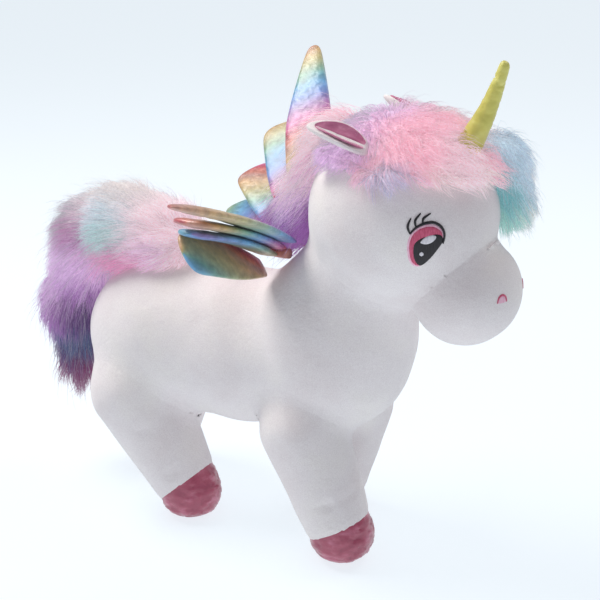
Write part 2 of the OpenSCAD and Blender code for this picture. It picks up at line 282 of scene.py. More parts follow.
def velour_finish():
    finish = Finish("velour", 0.88, sheen=0.28, sheen_roughness=0.35, specular=0.15)
    soft = finish.ramp(finish.spread(finish.noise(14, 3), 0.0, 1.0),
                       [(0.0, (240, 233, 233)), (0.5, (245, 240, 240)), (1.0, (248, 244, 241))])
    fibres = finish.spread(finish.noise(900, 2), 0.93, 1.0)
    finish.colour(finish.mix(soft, finish.ramp(fibres, [(0.9, (236, 232, 234)), (1.0, (255, 255, 255))]), 1.0,
                             "MULTIPLY"))
    finish.bump([(finish.noise(1500, 2), 0.00035),
                 (finish.noise(260, 3), 0.0006),
                 (finish.noise(40, 2), 0.0012)])
    return finish.material


def satin_finish(name, stops, roughness, crinkle):
    """Woven satin of one dye, with painted shade and highlight: darker in the dips and lighter on the crests
    of its crinkles.
    """
    finish = Finish(name, roughness, sheen=0.25, specular=0.6)
    finish.shader.inputs["Coat Weight"].default_value = 0.15
    finish.shader.inputs["Coat Roughness"].default_value = 0.3
    folds = finish.noise(48, 3, (1.0, 1.0, 2.0))
    # Painted shade and highlight: the colour follows the same fold noise that bumps the crinkles
    finish.colour(finish.ramp(finish.spread(folds, 0.0, 1.0), stops))
    threads = finish.noise(1400, 1, (0.25, 0.25, 2.5))
    finish.bump([(threads, 0.00012), (folds, crinkle)])
    return finish.material


RAINBOW = [(0.0, (206, 150, 138)), (0.12, (218, 178, 126)), (0.24, (194, 188, 134)), (0.36, (136, 186, 166)),
           (0.48, (112, 178, 222)), (0.6, (128, 156, 222)), (0.7, (178, 130, 190)), (0.8, (236, 134, 190)),
           (0.88, (208, 86, 108)), (0.95, (222, 134, 116)), (1.0, (206, 150, 138))]


def rainbow_finish():
    """Satin printed with soft rainbow bands. The print attribute says how far along them a point lies."""
    finish = Finish("rainbow_satin", 0.36, sheen=0.2, specular=0.6)
    finish.shader.inputs["Coat Weight"].default_value = 0.25
    finish.shader.inputs["Coat Roughness"].default_value = 0.25
    ripple = finish.math("MULTIPLY", finish.noise(30, 2), 0.10)
    band = finish.math("FRACT", finish.math("ADD", finish.attribute("print", "Fac"), ripple), 0.0)
    printed = finish.ramp(band, RAINBOW)
    folds = finish.noise(120, 3)
    # Painted shade: the print is darkened in the dips of the folds, with the same noise that bumps them
    shade = finish.ramp(finish.spread(folds, 0.0, 1.0), [(0.0, (205, 205, 210)), (1.0, (255, 255, 255))])
    finish.colour(finish.mix(printed, shade, 1.0, "MULTIPLY"))
    finish.bump([(finish.noise(1500, 1, (0.3, 2.0, 2.0)), 0.0001), (folds, 0.0014)])
    return finish.material


def fur_finish(name):
    """Faux fur: an attribute holds each hair's dye, with painted shade that darkens it towards the root. The
    same colour also glows as emission: painted light that brightens the fur.
    """
    finish = Finish(name, 0.62, sheen=0.35, sheen_roughness=0.3, specular=0.25)
    streaks = finish.ramp(finish.spread(finish.noise(420, 2), 0.0, 1.0),
                          [(0.0, (224, 222, 226)), (1.0, (255, 255, 255))])
    dye_and_glow = finish.mix(finish.attribute("dye_and_root_shade"), streaks, 1.0, "MULTIPLY")
    finish.colour(dye_and_glow)
    # Painted light: the fur's colour is sent out as emission too, so the hair glows brighter than the lamps
    # light it
    finish.link(dye_and_glow, finish.shader.inputs["Emission Color"])
    finish.shader.inputs["Emission Strength"].default_value = 0.42
    finish.bump([(finish.noise(2200, 1), 0.00015)])
    return finish.material


def thread_finish(name, dark, light):
    """Embroidery: close satin stitches with a silky shine, and painted shade and highlight: darker in the
    dips and lighter on the raised stitches.
    """
    finish = Finish(name, 0.42, sheen=0.15, specular=0.45)
    stitches = finish.noise(1100, 2, (1.0, 1.0, 0.16))
    # Painted shade and highlight: the colour runs from dark to light with the same noise that bumps the
    # stitches
    finish.colour(finish.ramp(finish.spread(stitches, 0.0, 1.0), [(0.0, dark), (1.0, light)]))
    finish.bump([(stitches, 0.0003)])
    return finish.material


# Each satin's dye from darkest to lightest: painted shade in the crinkles' dips and painted highlight on
# their crests
HOOF_DYE_AND_FOLD_SHADING = [(0.0, (160, 66, 92)), (0.6, (178, 82, 106)), (1.0, (202, 118, 142))]
EAR_DYE_AND_FOLD_SHADING = [(0.0, (176, 88, 128)), (0.6, (204, 122, 158)), (1.0, (232, 168, 194))]
HORN_DYE_AND_FOLD_SHADING = [(0.0, (196, 190, 84)), (0.5, (210, 204, 98)), (1.0, (224, 220, 124))]
FINISHES = {
    "velour": velour_finish(),
    "hoof_satin": satin_finish("hoof_satin", HOOF_DYE_AND_FOLD_SHADING, 0.3, 0.0016),
    "ear_satin": satin_finish("ear_satin", EAR_DYE_AND_FOLD_SHADING, 0.36, 0.0012),
    "horn_satin": satin_finish("horn_satin", HORN_DYE_AND_FOLD_SHADING, 0.5, 0.0006),
    "rainbow_satin": rainbow_finish(),
    "mane_fur": fur_finish("mane_fur"),
    "tail_fur": fur_finish("tail_fur"),
    "iris_thread": thread_finish("iris_thread", (186, 62, 98), (222, 104, 138)),
    "rim_thread": thread_finish("rim_thread", (232, 170, 196), (248, 208, 224)),
    "black_thread": thread_finish("black_thread", (14, 11, 15), (38, 34, 42)),
    "white_thread": thread_finish("white_thread", (206, 202, 210), (236, 234, 240)),
}


# ---------- meshes ----------


def smooth(obj):
    """Shades all of a mesh smoothly."""
    obj.data.polygons.foreach_set("use_smooth", np.ones(len(obj.data.polygons), bool))
    return obj


def build(name, points, *blocks):
    """A mesh object from points in toy millimetres and arrays of faces with the same number of corners."""
    mesh = bpy.data.meshes.new(name)
    mesh.vertices.add(len(points))
    mesh.vertices.foreach_set("co", to_frame(points).astype(np.float32).ravel())
    blocks = [np.asarray(block, int) for block in blocks]
    corners = np.concatenate([block.ravel() for block in blocks])
    sizes = np.concatenate([np.full(len(block), block.shape[1]) for block in blocks])
    mesh.loops.add(len(corners))
    mesh.loops.foreach_set("vertex_index", corners.astype(np.int32))
    mesh.polygons.add(len(sizes))
    mesh.polygons.foreach_set("loop_start", np.concatenate([[0], np.cumsum(sizes)[:-1]]).astype(np.int32))
    mesh.update(calc_edges=True)
    obj = smooth(add_object(name, mesh))
    mesh.validate()
    return obj


def paint(obj, attribute, values):
    """Stores a number or a linear colour at each point of the mesh."""
    values = np.asarray(values, np.float32)
    if values.ndim == 1:
        obj.data.attributes.new(attribute, "FLOAT", "POINT").data.foreach_set("value", values)
        return
    rgba = np.concatenate([values, np.ones((len(values), 1), np.float32)], axis=1)
    obj.data.attributes.new(attribute, "FLOAT_COLOR", "POINT").data.foreach_set("color", rgba.ravel())


def finished(obj, slot, body, *nodes, finish=None):
    """Gives a piece its material, the body it rides on and the CAD nodes that it stands for."""
    obj.data.materials.clear()
    obj.data.materials.append(FINISHES[finish or slot])
    if nodes:
        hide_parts(*nodes)
    if body:
        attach(obj, body)
    return obj


def applied(obj):
    """Applies an object's modifiers to its mesh."""
    mesh = bpy.data.meshes.new_from_object(obj.evaluated_get(bpy.context.evaluated_depsgraph_get()))
    obj.modifiers.clear()
    obj.data = mesh
    return obj


def cleaned(obj, merge=0.0):
    """Merges points of a mesh that are closer than that, in metres, and turns its faces outwards."""
    bm = bmesh.new()
    bm.from_mesh(obj.data)
    if merge:
        bmesh.ops.remove_doubles(bm, verts=bm.verts, dist=merge)
    bmesh.ops.recalc_face_normals(bm, faces=bm.faces)
    bm.to_mesh(obj.data)
    bm.free()
    return obj


def voxel_skin(balls, voxel):
    """The points and quads of one closed skin around a list of balls (x, y, z, radius)."""
    bm = bmesh.new()
    for x, y, z, r in balls:
        bmesh.ops.create_icosphere(bm, subdivisions=3, radius=r, matrix=Matrix.Translation((x, y, z)))
    mesh = bpy.data.meshes.new("seed")
    bm.to_mesh(mesh)
    bm.free()
    seed = add_object("seed", mesh)
    remesh = seed.modifiers.new("remesh", "REMESH")
    remesh.mode = "VOXEL"
    remesh.voxel_size = voxel
    skin = applied(seed).data
    points = np.zeros(len(skin.vertices) * 3)
    skin.vertices.foreach_get("co", points)
    corners = np.zeros(len(skin.loops), int)
    skin.loops.foreach_get("vertex_index", corners)
    bpy.data.objects.remove(seed)
    return points.reshape(-1, 3), corners.reshape(-1, 4)


def between(a, b, steps=8):
    """Balls (x, y, z, radius) from one ball to another."""
    a, b = np.array(a, float), np.array(b, float)
    return [tuple(a + (b - a) * i / steps) for i in range(steps + 1)]


# ---------- soft shapes as fields: negative inside, about millimetres from the surface ----------


def oval(p, centre, radii):
    """An ellipsoid."""
    q = (p - np.array(centre)) / np.array(radii)
    k0 = np.linalg.norm(q, axis=1)
    k1 = np.maximum(np.linalg.norm(q / np.array(radii), axis=1), 1e-9)
    return k0 * (k0 - 1) / k1


def taper(p, a, b):
    """A ball-ended taper between two balls (x, y, z, radius)."""
    start, end, ra, rb = np.array(a[:3], float), np.array(b[:3], float), a[3], b[3]
    along = end - start
    length2 = along @ along
    fall = ra - rb
    slope2 = length2 - fall * fall
    q = p - start
    y = q @ along
    z = y - length2
    x2 = ((q * length2 - y[:, None] * along) ** 2).sum(1)
    y2 = y * y * length2
    z2 = z * z * length2
    limit = np.sign(fall) * fall * fall * x2
    side = (np.sqrt(x2 * slope2 / length2) + y * fall) / length2 - ra
    near = np.sqrt(x2 + y2) / length2 - ra
    far = np.sqrt(x2 + z2) / length2 - rb
    before_end = np.where(np.sign(y) * slope2 * y2 < limit, near, side)
    return np.where(np.sign(z) * slope2 * z2 > limit, far, before_end)


def melt(a, b, width):
    """The union of two fields, with a fillet of about that width."""
    h = np.maximum(width - np.abs(a - b), 0) / width
    return np.minimum(a, b) - h * h * width / 4


def slopes(field, p, step=0.5):
    """The field's gradient at each point."""
    out = np.zeros_like(p)
    for axis in range(3):
        shift = np.zeros(3)
        shift[axis] = step
        out[:, axis] = (field(p + shift) - field(p - shift)) / (2 * step)
    return out


def settle(field, p, rounds=5):
    """Moves points onto the field's surface."""
    for _ in range(rounds):
        g = slopes(field, p)
        p = p - g * (field(p) / np.maximum((g * g).sum(1), 0.05))[:, None]
    return p


# ---------- body ----------

RUMP = ((-134, 0, 212), (108, 92, 97))
BARREL = ((-30, 0, 218), (112, 88, 94))
CHEST = ((85, 0, 240), (97, 90, 101))
NECK = ((106, 0, 284, 72), (140, 0, 388, 62))
HEAD = ((172, 0, 408), (104, 96, 100))
MUZZLE = ((248, 0, 334), (59, 63, 59))
MUZZLE_DIP = math.radians(44)
MUZZLE_WAY = np.array([math.cos(MUZZLE_DIP), 0, -math.sin(MUZZLE_DIP)])
MUZZLE_SEAM = 85
LEG_SIDE = 50
HIP_Z = 150
SEAM_Z = 40
FOOT_Z = 30
SHOULDER_R = 50
THIGH_R = 57
FOOT_R = 37
HOOF_LEAN = 1.3
# Each leg: how far its hip and its foot are ahead of the middle, its side, and its hip's radius
LEGS = {
    "right_fore": (78, FORE_FOOT_AHEAD, RIGHT, SHOULDER_R),
    "left_fore": (88, 66, LEFT, SHOULDER_R),
    "right_hind": (-158, -88, RIGHT, THIGH_R),
    "left_hind": (-168, -188, LEFT, THIGH_R),
}
SKIN = 2.2


def leg_balls(leg):
    hip_x, foot_x, side, hip_r = LEGS[leg]
    lean = (foot_x - hip_x) / (HIP_Z - SEAM_Z)
    return ((hip_x, side * LEG_SIDE, HIP_Z, hip_r),
            (foot_x + lean * (SEAM_Z - FOOT_Z), side * LEG_SIDE, FOOT_Z, FOOT_R))


def leg_way(leg):
    """The direction from the hip down to the foot."""
    hip, foot = leg_balls(leg)
    return unit(np.array(foot[:3]) - np.array(hip[:3]))


def leg_field(p, leg):
    """A leg with its hoof, flattened on the floor."""
    return -melt(-taper(p, *leg_balls(leg)), p[:, 2], 14)


def torso_field(p):
    trunk = melt(melt(oval(p, *RUMP), oval(p, *BARREL), 30), oval(p, *CHEST), 30)
    return melt(trunk, taper(p, *NECK), 34)


def head_field(p):
    return melt(oval(p, *HEAD), oval(p, *MUZZLE), 14)


def body_field(p):
    field = torso_field(p)
    for leg in LEGS:
        field = melt(field, leg_field(p, leg), 20)
    return melt(field, head_field(p), 16)


def muzzle_zone(p):
    """Negative beyond the muzzle's seam."""
    return np.maximum(MUZZLE_SEAM - (p - np.array(HEAD[0])) @ MUZZLE_WAY, oval(p, *MUZZLE) - 12)


def head_zone(p):
    """Negative on the head's side of the neck seam."""
    return head_field(p) - torso_field(p)


def leg_zone(leg):
    """A field that is negative on a leg's side of its seam."""
    def zone(p):
        return leg_field(p, leg) - np.minimum(torso_field(p), head_field(p))
    return zone


def hoof_zone(leg):
    """A field that is negative below the hoof's seam, which leans a little more than square to the leg."""
    foot = np.array([LEGS[leg][1], LEGS[leg][2] * LEG_SIDE, SEAM_Z])
    way = leg_way(leg)
    lean = math.atan2(way[0], -way[2]) * HOOF_LEAN
    down = np.array([math.sin(lean), 0, -math.cos(lean)])

    def zone(p):
        reach = np.linalg.norm((p - foot)[:, :2], axis=1) - 75
        return np.maximum(np.maximum(-(p - foot) @ down, reach), p[:, 2] - 95)
    return zone


# Soft folds: (points along the fold, depth, width)
FOLDS = [
    ([(150, -62, 92), (165, -40, 96), (140, -88, 86), (108, -84, 76)], 2.4, 6),
    ([(118, -30, 128), (104, -78, 132), (70, -102, 150)], 1.6, 10),
    ([(-120, -98, 118), (-88, -100, 128), (-64, -82, 140)], 1.8, 10),
    ([(-52, -60, 82), (-70, -88, 74), (-96, -84, 62)], 1.6, 7),
    ([(183, -60, 322), (170, -78, 338), (146, -80, 352)], 1.8, 11),
    ([(96, -82, 330), (112, -76, 352), (120, -84, 372)], 1.4, 12),
    ([(40, -92, 256), (52, -96, 220), (48, -94, 190)], 1.2, 16),
    ([(-40, -80, 262), (-20, -88, 226), (-24, -84, 190)], 1.0, 18),
]
BODY_VOXEL = 3.4
SEAM_WIDTH = 2.6
SEAM_REACH = 5.0
SEAM_ROUNDS = 4
SEAM_DEPTHS = {"muzzle": 1.9, "head": 0.5, "hoof": 1.8, "leg": 0.3, "torso": 0.5}
FACE_POINTS = np.array([(233, -77, 402), (233, 77, 402), (300, -29, 342), (300, 29, 342)])


def rough(p, size, offset=0.0):
    """Smooth noise of about -1 to 1, with cells of that many millimetres."""
    return np.array([noise.noise(Vector(q) / size + Vector((offset, offset * 0.7, 0))) for q in p])


def nearest(samples):
    """A function that gives the distance from each point to the nearest sample, and which it is."""
    tree = KDTree(len(samples))
    for i, sample in enumerate(samples):
        tree.insert(sample, i)
    tree.balance()

    def find(points):
        found = [tree.find(q) for q in points]
        return np.array([f[2] for f in found]), np.array([f[1] for f in found])
    return find


def fold_depth(p):
    """How far the soft folds pull the velour in at each point."""
    depth = np.zeros(len(p))
    for stops, deep, wide in FOLDS:
        for side in (1, -1):
            line = [np.array(a) + (np.array(b) - np.array(a)) * i / 12
                    for a, b in zip(stops, stops[1:]) for i in range(13)]
            line = np.array(line) * (1, side, 1)
            d = np.min(np.linalg.norm(p[:, None, :] - line[None, :, :], axis=2), axis=1)
            depth += deep * np.exp(-(d / wide) ** 2)
    return depth


SEAM_SNAP = 0.9
SEAM_SEARCH = 2.5


def cut_along(bm, field):
    """Adds edges to a mesh where a field is zero, and moves points that are close to there onto it."""
    bm.verts.ensure_lookup_table()
    points = np.array([v.co for v in bm.verts])
    values = field(points)
    close = np.flatnonzero(np.abs(values) < SEAM_SEARCH)
    if len(close):
        g = slopes(field, points[close], 0.2)
        steepness = np.maximum((g * g).sum(1), 1e-3)
        shift = g * (values[close] / steepness)[:, None]
        near = np.linalg.norm(shift, axis=1) < SEAM_SNAP
        for i, move in zip(close[near], shift[near]):
            bm.verts[int(i)].co -= Vector(move)
        values[close[near]] = 0
    level = dict(zip(bm.verts, values))
    for edge in [e for e in bm.edges if level[e.verts[0]] * level[e.verts[1]] < 0]:
        a, b = edge.verts
        new = bmesh.utils.edge_split(edge, a, level[a] / (level[a] - level[b]))[1]
        level[new] = 0
    on_line = [v for v, value in level.items() if value == 0]
    for face in {f for v in on_line for f in v.link_faces}:
        ends = [v for v in face.verts if level[v] == 0]
        if len(ends) == 2 and not any(ends[1] in e.verts for e in ends[0].link_edges):
            bmesh.utils.face_split(face, ends[0], ends[1])


def body_labels(p):
    """The panel that each point of the body belongs to."""
    labels = np.where(p[:, 1] < 0, "right_torso", "left_torso").astype("U20")
    in_head = head_zone(p) < 0
    labels[in_head] = np.where(p[in_head, 1] < 0, "right_head", "left_head")
    for leg in LEGS:
        side = LEGS[leg][2]
        labels[(leg_zone(leg)(p) < 0) & (p[:, 1] * side > 0)] = leg + "_leg"
    for leg in LEGS:
        labels[hoof_zone(leg)(p) < 0] = leg + "_hoof"
    labels[muzzle_zone(p) < 0] = "muzzle"
    return labels


def evened(bm, labels, rounds=4):
    """Panel labels without slivers: a face takes the panel that it shares the longest edges with."""
    for _ in range(rounds):
        changed = []
        for face in bm.faces:
            shared = {}
            for edge in face.edges:
                for other in edge.link_faces:
                    if other is not face:
                        label = labels[other.index]
                        shared[label] = shared.get(label, 0.0) + edge.calc_length()
            own = labels[face.index]
            best = max(shared, key=shared.get)
            if best != own and shared[best] > 1.25 * shared.get(own, 0.0):
                changed.append((face.index, best))
        for i, label in changed:
            labels[i] = label
    return labels


def seam_kind(a, b):
    """The kind of seam between two panels."""
    for kind in ("muzzle", "hoof", "leg", "head"):
        if kind in a or kind in b:
            return kind
    return "torso"


def sewn_body():
    """The velour body and hooves as one skin with folds and seams: its points, and each panel's faces."""
    voxel = BODY_VOXEL
    balls = between((-150, 0, 212, 84), (95, 0, 240, 84)) + between((100, 0, 268, 70), (150, 0, 396, 60))
    balls += [(*HEAD[0], 92), (*MUZZLE[0], 54)]
    for leg in LEGS:
        balls += between(*leg_balls(leg))
    points, quads = voxel_skin(balls, voxel)
    points = settle(body_field, points)
    bm = bmesh.new()
    verts = [bm.verts.new(p) for p in points]
    for quad in quads:
        bm.faces.new([verts[i] for i in quad])
    cuts = [lambda p: p[:, 1], muzzle_zone, head_zone]
    cuts += [leg_zone(leg) for leg in LEGS] + [hoof_zone(leg) for leg in LEGS]
    for field in cuts:
        cut_along(bm, field)
    bmesh.ops.dissolve_degenerate(bm, dist=0.05, edges=bm.edges[:])
    bm.faces.ensure_lookup_table()
    bm.verts.index_update()
    bm.faces.index_update()
    labels = evened(bm, body_labels(np.array([f.calc_center_median() for f in bm.faces])))
    seams = []
    depths = []
    for edge in bm.edges:
        if len(edge.link_faces) == 2:
            a, b = (labels[f.index] for f in edge.link_faces)
            if a != b:
                for share in (0.0, 0.5, 1.0):
                    seams.append(edge.verts[0].co.lerp(edge.verts[1].co, share))
                    depths.append(SEAM_DEPTHS[seam_kind(a, b)])
    points = np.array([v.co for v in bm.verts])
    normals = unit(slopes(body_field, points))
    distance, which = nearest(seams)(points)
    pull = np.array(depths)[which] * np.exp(-(distance / SEAM_WIDTH) ** 2)
    pull += fold_depth(points)
    face_gap = np.min(np.linalg.norm(points[:, None, :] - FACE_POINTS[None], axis=2), axis=1)
    calm = np.clip((face_gap - 30) / 30, 0, 1)
    pull += calm * (1.3 * rough(points, 62, 3.1) + 0.5 * rough(points, 24, 8.4))
    hooves = np.min([hoof_zone(leg)(points) for leg in LEGS], axis=0)
    satin = np.clip(-hooves / 6, 0, 1) * np.clip(points[:, 2] / 10, 0, 1)
    creases = np.abs(rough(points * (1, 1, 1.5), 13, 5.5))
    pull += satin * (1.8 * np.exp(-(creases / 0.16) ** 2) - 0.8)
    points = points - normals * pull[:, None]
    points[:, 2] = np.maximum(points[:, 2], 0.0)
    for v, p in zip(bm.verts, points):
        v.co = p
    beside_seams = [v for v, gap in zip(bm.verts, distance) if gap < SEAM_REACH]
    for _ in range(SEAM_ROUNDS):
        bmesh.ops.smooth_vert(bm, verts=beside_seams, factor=0.5, use_axis_x=True, use_axis_y=True,
                              use_axis_z=True)
    points = np.array([v.co for v in bm.verts])
    points[:, 2] = np.maximum(points[:, 2], 0.0)
    panels = {}
    for face in bm.faces:
        panels.setdefault(str(labels[face.index]), []).append([v.index for v in face.verts])
    bm.free()
    return points, panels


def panel_object(name, points, faces):
    """One panel, with the thickness of its cloth inside."""
    used = sorted({i for face in faces for i in face})
    row = {old: new for new, old in enumerate(used)}
    mesh = bpy.data.meshes.new(name)
    mesh.from_pydata(to_frame(points[used]).tolist(), [], [[row[i] for i in face] for face in faces])
    obj = smooth(add_object(name, mesh))
    cloth = obj.modifiers.new("cloth_thickness", "SOLIDIFY")
    cloth.thickness = SKIN * MM
    cloth.offset = -1.0
    obj = applied(obj)
    obj.data.set_sharp_from_angle(angle=math.radians(50))
    return obj


def make_body():
    points, panels = sewn_body()
    for label, faces in panels.items():
        slot = "hoof_satin" if "hoof" in label else "velour"
        if label.endswith("torso") or label.endswith("head"):
            side, part = label.split("_")
            nodes = [f"{part}_skin_{side}"] + ([f"{part}_fill"] if side == "right" else [])
        elif label == "muzzle":
            nodes = ["muzzle_skin"]
        elif label.endswith("leg"):
            nodes = [label + "_skin", label + "_fill"]
        else:
            nodes = [label, label.replace("hoof", "sole")]
        panel = panel_object(label + "_panel", points, faces)
        finished(panel, slot, "body", *nodes)


# ---------- fur ----------

HAIR_R = 0.42
HAIR_STEPS = 4
FUR_VOXEL = 4.0
GUARD_SHARE = 0.12
GUARD_LENGTH = 1.35
GUARD_THICKNESS = 0.6
HAIRS_PER_TUFT = 22
# No hair reaches further back than this
BACKMOST = -337


def patch_colours(p, patches, rng, blur=5.0):
    """The dye at each point, from soft patches (x, y, z, reach, colour) whose edges run into each other."""
    q = p + rng.normal(0, blur, p.shape)
    centres = np.array([patch[:3] for patch in patches], float)
    reach = np.array([patch[3] for patch in patches], float)
    dyes = np.array([linear(patch[4]) for patch in patches])
    gap2 = ((q[:, None, :] - centres[None]) ** 2).sum(2)
    closeness = -gap2 / (2 * (0.8 * reach) ** 2)
    weights = np.exp(closeness - closeness.max(1, keepdims=True))
    return (weights / weights.sum(1, keepdims=True)) @ dyes


def scattered(points, quads, count, rng):
    """Random points spread evenly over a skin of quads."""
    a, b, c, d = (points[quads[:, i]] for i in range(4))
    areas = np.linalg.norm(np.cross(c - a, d - b), axis=1)
    face = rng.choice(len(quads), count, p=areas / areas.sum())
    u, v = rng.random((2, count, 1))
    return (a[face] * (1 - u) + b[face] * u) * (1 - v) + (d[face] * (1 - u) + c[face] * u) * v


def hair_paths(roots, normals, comb, length, lift, droop, rng, clump):
    """The path of each hair: up from the root, over along the comb and down at the tip, drawn into tufts.

    A few long guard hairs stay out of the tufts. Returns the paths, and which hairs are guard hairs.
    """
    count = len(roots)
    guard = rng.random(count) < GUARD_SHARE
    size = length * rng.uniform(0.7, 1.15, count) * np.where(guard, GUARD_LENGTH, 1.0)
    wander = rng.normal(0, 0.2, (count, 3))
    place = roots - normals * 2
    rings = [place]
    for step in range(HAIR_STEPS):
        t = (step + 0.5) / HAIR_STEPS
        way = normals * lift * (1 - t) ** 1.2 + comb * (0.3 + t) + DOWN * droop * t * t + wander
        place = place + unit(way) * (size / HAIR_STEPS)[:, None]
        rings.append(place)
    paths = np.stack(rings, axis=1)
    guides = rng.choice(count, max(count // HAIRS_PER_TUFT, 1), replace=False)
    which = guides[nearest(roots[guides])(roots)[1]]
    along = np.linspace(0, 1, HAIR_STEPS + 1)[None, :, None]
    pull = clump * np.where(guard, 0.15, 1.0)[:, None, None] * along ** 1.4
    offset = (roots - roots[which])[:, None, :]
    paths = paths + (paths[which] + offset * 0.3 - paths) * pull
    back = paths[:, -1, 0]
    room = (paths[:, 0, 0] - BACKMOST) / np.maximum(paths[:, 0, 0] - back, 0.001)
    share = np.where(back < BACKMOST, np.clip(room, 0.2, 1.0), 1.0)
    return paths[:, :1] + (paths - paths[:, :1]) * share[:, None, None], guard


def hair_mesh(paths, radius):
    """Tapered three-sided hairs: points, quads, triangles, and how far along its hair each point is."""
    count, rings = paths.shape[:2]
    ways = unit(np.gradient(paths, axis=1))
    across = unit(np.cross(ways, np.array([0.31, 0.87, 0.38])))
    other = np.cross(ways, across)
    share = np.linspace(0, 1, rings)
    width = radius[:, None, None] * ((1 - share ** 1.6) ** 0.8)[None, :, None]
    corners = [paths + (across * math.cos(angle) + other * math.sin(angle)) * width
               for angle in (0.0, 2 * math.pi / 3, 4 * math.pi / 3)]
    body = np.stack(corners, axis=2)[:, :-1].reshape(count, -1, 3)
    points = np.concatenate([body, paths[:, -1:]], axis=1)
    per = points.shape[1]
    base = (np.arange(count) * per)[:, None, None]
    quad = np.array([(3 * k + i, 3 * k + (i + 1) % 3, 3 * k + 3 + (i + 1) % 3, 3 * k + 3 + i)
                     for k in range(rings - 2) for i in range(3)])
    last = 3 * (rings - 2)
    tri = np.array([(last + i, last + (i + 1) % 3, per - 1) for i in range(3)] + [(2, 1, 0)])
    along = np.tile(np.append(np.repeat(share[:-1], 3), 1.0), count)
    return points.reshape(-1, 3), (base + quad).reshape(-1, 4), (base + tri).reshape(-1, 3), along


def furry(name, balls, field, count, keep, comb, length, lift, droop, patches, seed, clump=0.55, outer=None):
    """A mass of fur: a soft skin with hairs growing from it."""
    rng = np.random.default_rng(seed)
    count = count
    points, quads = voxel_skin(balls, FUR_VOXEL)
    points = settle(field, points)
    roots = scattered(points, quads, count * 2, rng)
    roots = roots[keep(roots)][:count]
    normals = unit(slopes(field, roots))
    flow = comb(roots)
    flow = flow - normals * (flow * normals).sum(1, keepdims=True) * 0.8
    paths, guard = hair_paths(roots, normals, unit(flow), length(roots), lift, droop, rng, clump)
    dye = patch_colours(roots, patches, rng) * rng.uniform(0.88, 1.06, (len(roots), 1))
    dye = np.where(guard[:, None], dye * 0.5 + linear(GREY) * 0.5, dye)
    radius = HAIR_R * rng.uniform(0.75, 1.25, len(roots)) * np.where(guard, GUARD_THICKNESS, 1.0)
    radius *= 1.0
    hair_points, hair_quads, hair_tris, along = hair_mesh(paths, radius)
    per = len(hair_points) // len(roots)
    # Painted shade: each hair's dye is darkened towards its root, where the fur shades itself, and a little
    # lightened at its tip
    dye_and_root_shade = np.repeat(dye, per, axis=0) * (0.82 + 0.22 * along)[:, None]
    if outer is not None:
        dye_and_root_shade = outer(hair_points, along, dye_and_root_shade)
    # Painted shade: the skin under the hair takes the dye darkened to 0.85, as shade beneath the hairs
    shaded_skin_dye = patch_colours(points, patches, rng, 2.0) * 0.85
    start = len(points)
    obj = build(name, np.concatenate([points, hair_points]), quads, hair_quads + start, hair_tris + start)
    paint(obj, "dye_and_root_shade", np.clip(np.concatenate([shaded_skin_dye, dye_and_root_shade]), 0, 1))
    return obj


PINK = (255, 206, 220)
PALE_PINK = (252, 230, 236)
MAUVE = (232, 202, 236)
PURPLE = (176, 122, 190)
DARK_PURPLE = (98, 74, 122)
MAGENTA = (190, 98, 172)
HOT_PINK = (238, 160, 204)
BLUE_GREY = (194, 202, 224)
PALE_BLUE = (208, 226, 238)
MINT = (182, 226, 218)
TEAL = (132, 194, 198)
CREAM = (246, 236, 230)
GREY = (190, 190, 196)
PLUM = (142, 84, 122)
BLUE_TEAL = (88, 112, 146)

TAIL_ROOT = (-140, 0, 330, 33)
TAIL_CREST = (-205, 0, 336, 39)
TAIL_FALL = (-248, 0, 318, 38)
TAIL_BEND = (-284, 0, 226, 28)
TAIL_TIP = (-288, 0, 138, 9)

TAIL_PATCHES = [
    (-150, -20, 352, 22, PALE_PINK), (-178, -10, 378, 24, CREAM), (-205, 0, 384, 24, CREAM),
    (-178, -40, 362, 20, PALE_BLUE), (-208, -36, 362, 18, PALE_BLUE), (-200, -48, 338, 16, MINT),
    (-176, -50, 338, 14, MINT), (-146, -44, 350, 18, PALE_PINK), (-140, -46, 330, 14, MAUVE),
    (-200, -44, 306, 15, HOT_PINK), (-174, -46, 308, 15, HOT_PINK), (-152, -46, 310, 12, HOT_PINK),
    (-232, -30, 360, 16, PALE_PINK),
    (-248, -36, 336, 14, MAGENTA), (-262, -20, 344, 20, GREY), (-240, -44, 304, 16, MAUVE),
    (-268, -36, 290, 20, MAUVE), (-262, -40, 262, 18, PURPLE), (-288, -30, 256, 16, MAUVE),
    (-268, -28, 232, 16, DARK_PURPLE), (-290, -28, 218, 14, PURPLE), (-284, -20, 196, 13, BLUE_TEAL),
    (-290, -14, 172, 12, DARK_PURPLE), (-290, -10, 148, 14, PLUM), (-292, 0, 112, 14, PLUM),
    (-205, 44, 330, 26, MINT), (-180, 44, 340, 24, PALE_PINK), (-250, 40, 310, 22, HOT_PINK),
    (-280, 34, 260, 22, MAUVE), (-286, 28, 210, 18, BLUE_TEAL), (-310, 0, 250, 16, PURPLE),
]
FORELOCK_PATCHES = [
    (150, -60, 496, 18, MAUVE), (176, -64, 488, 18, PINK), (186, -40, 512, 26, PINK),
    (214, -50, 486, 20, PINK),
    (236, -28, 492, 16, PALE_PINK), (232, -50, 470, 10, PALE_PINK), (190, -78, 470, 10, BLUE_GREY),
    (206, -74, 462, 8, BLUE_GREY), (234, -58, 462, 10, CREAM), (252, -34, 466, 12, PALE_PINK),
    (264, -10, 458, 9, CREAM), (262, 14, 474, 12, PINK), (266, 30, 450, 12, TEAL),
    (252, 50, 476, 20, PALE_BLUE), (226, 60, 480, 22, CREAM), (200, 50, 500, 22, PALE_PINK),
    (170, 40, 514, 26, PALE_PINK), (150, 0, 520, 26, MAUVE), (140, 60, 490, 20, GREY),
    (120, 0, 510, 20, GREY), (200, 0, 516, 20, PINK), (236, 80, 440, 18, GREY),
]
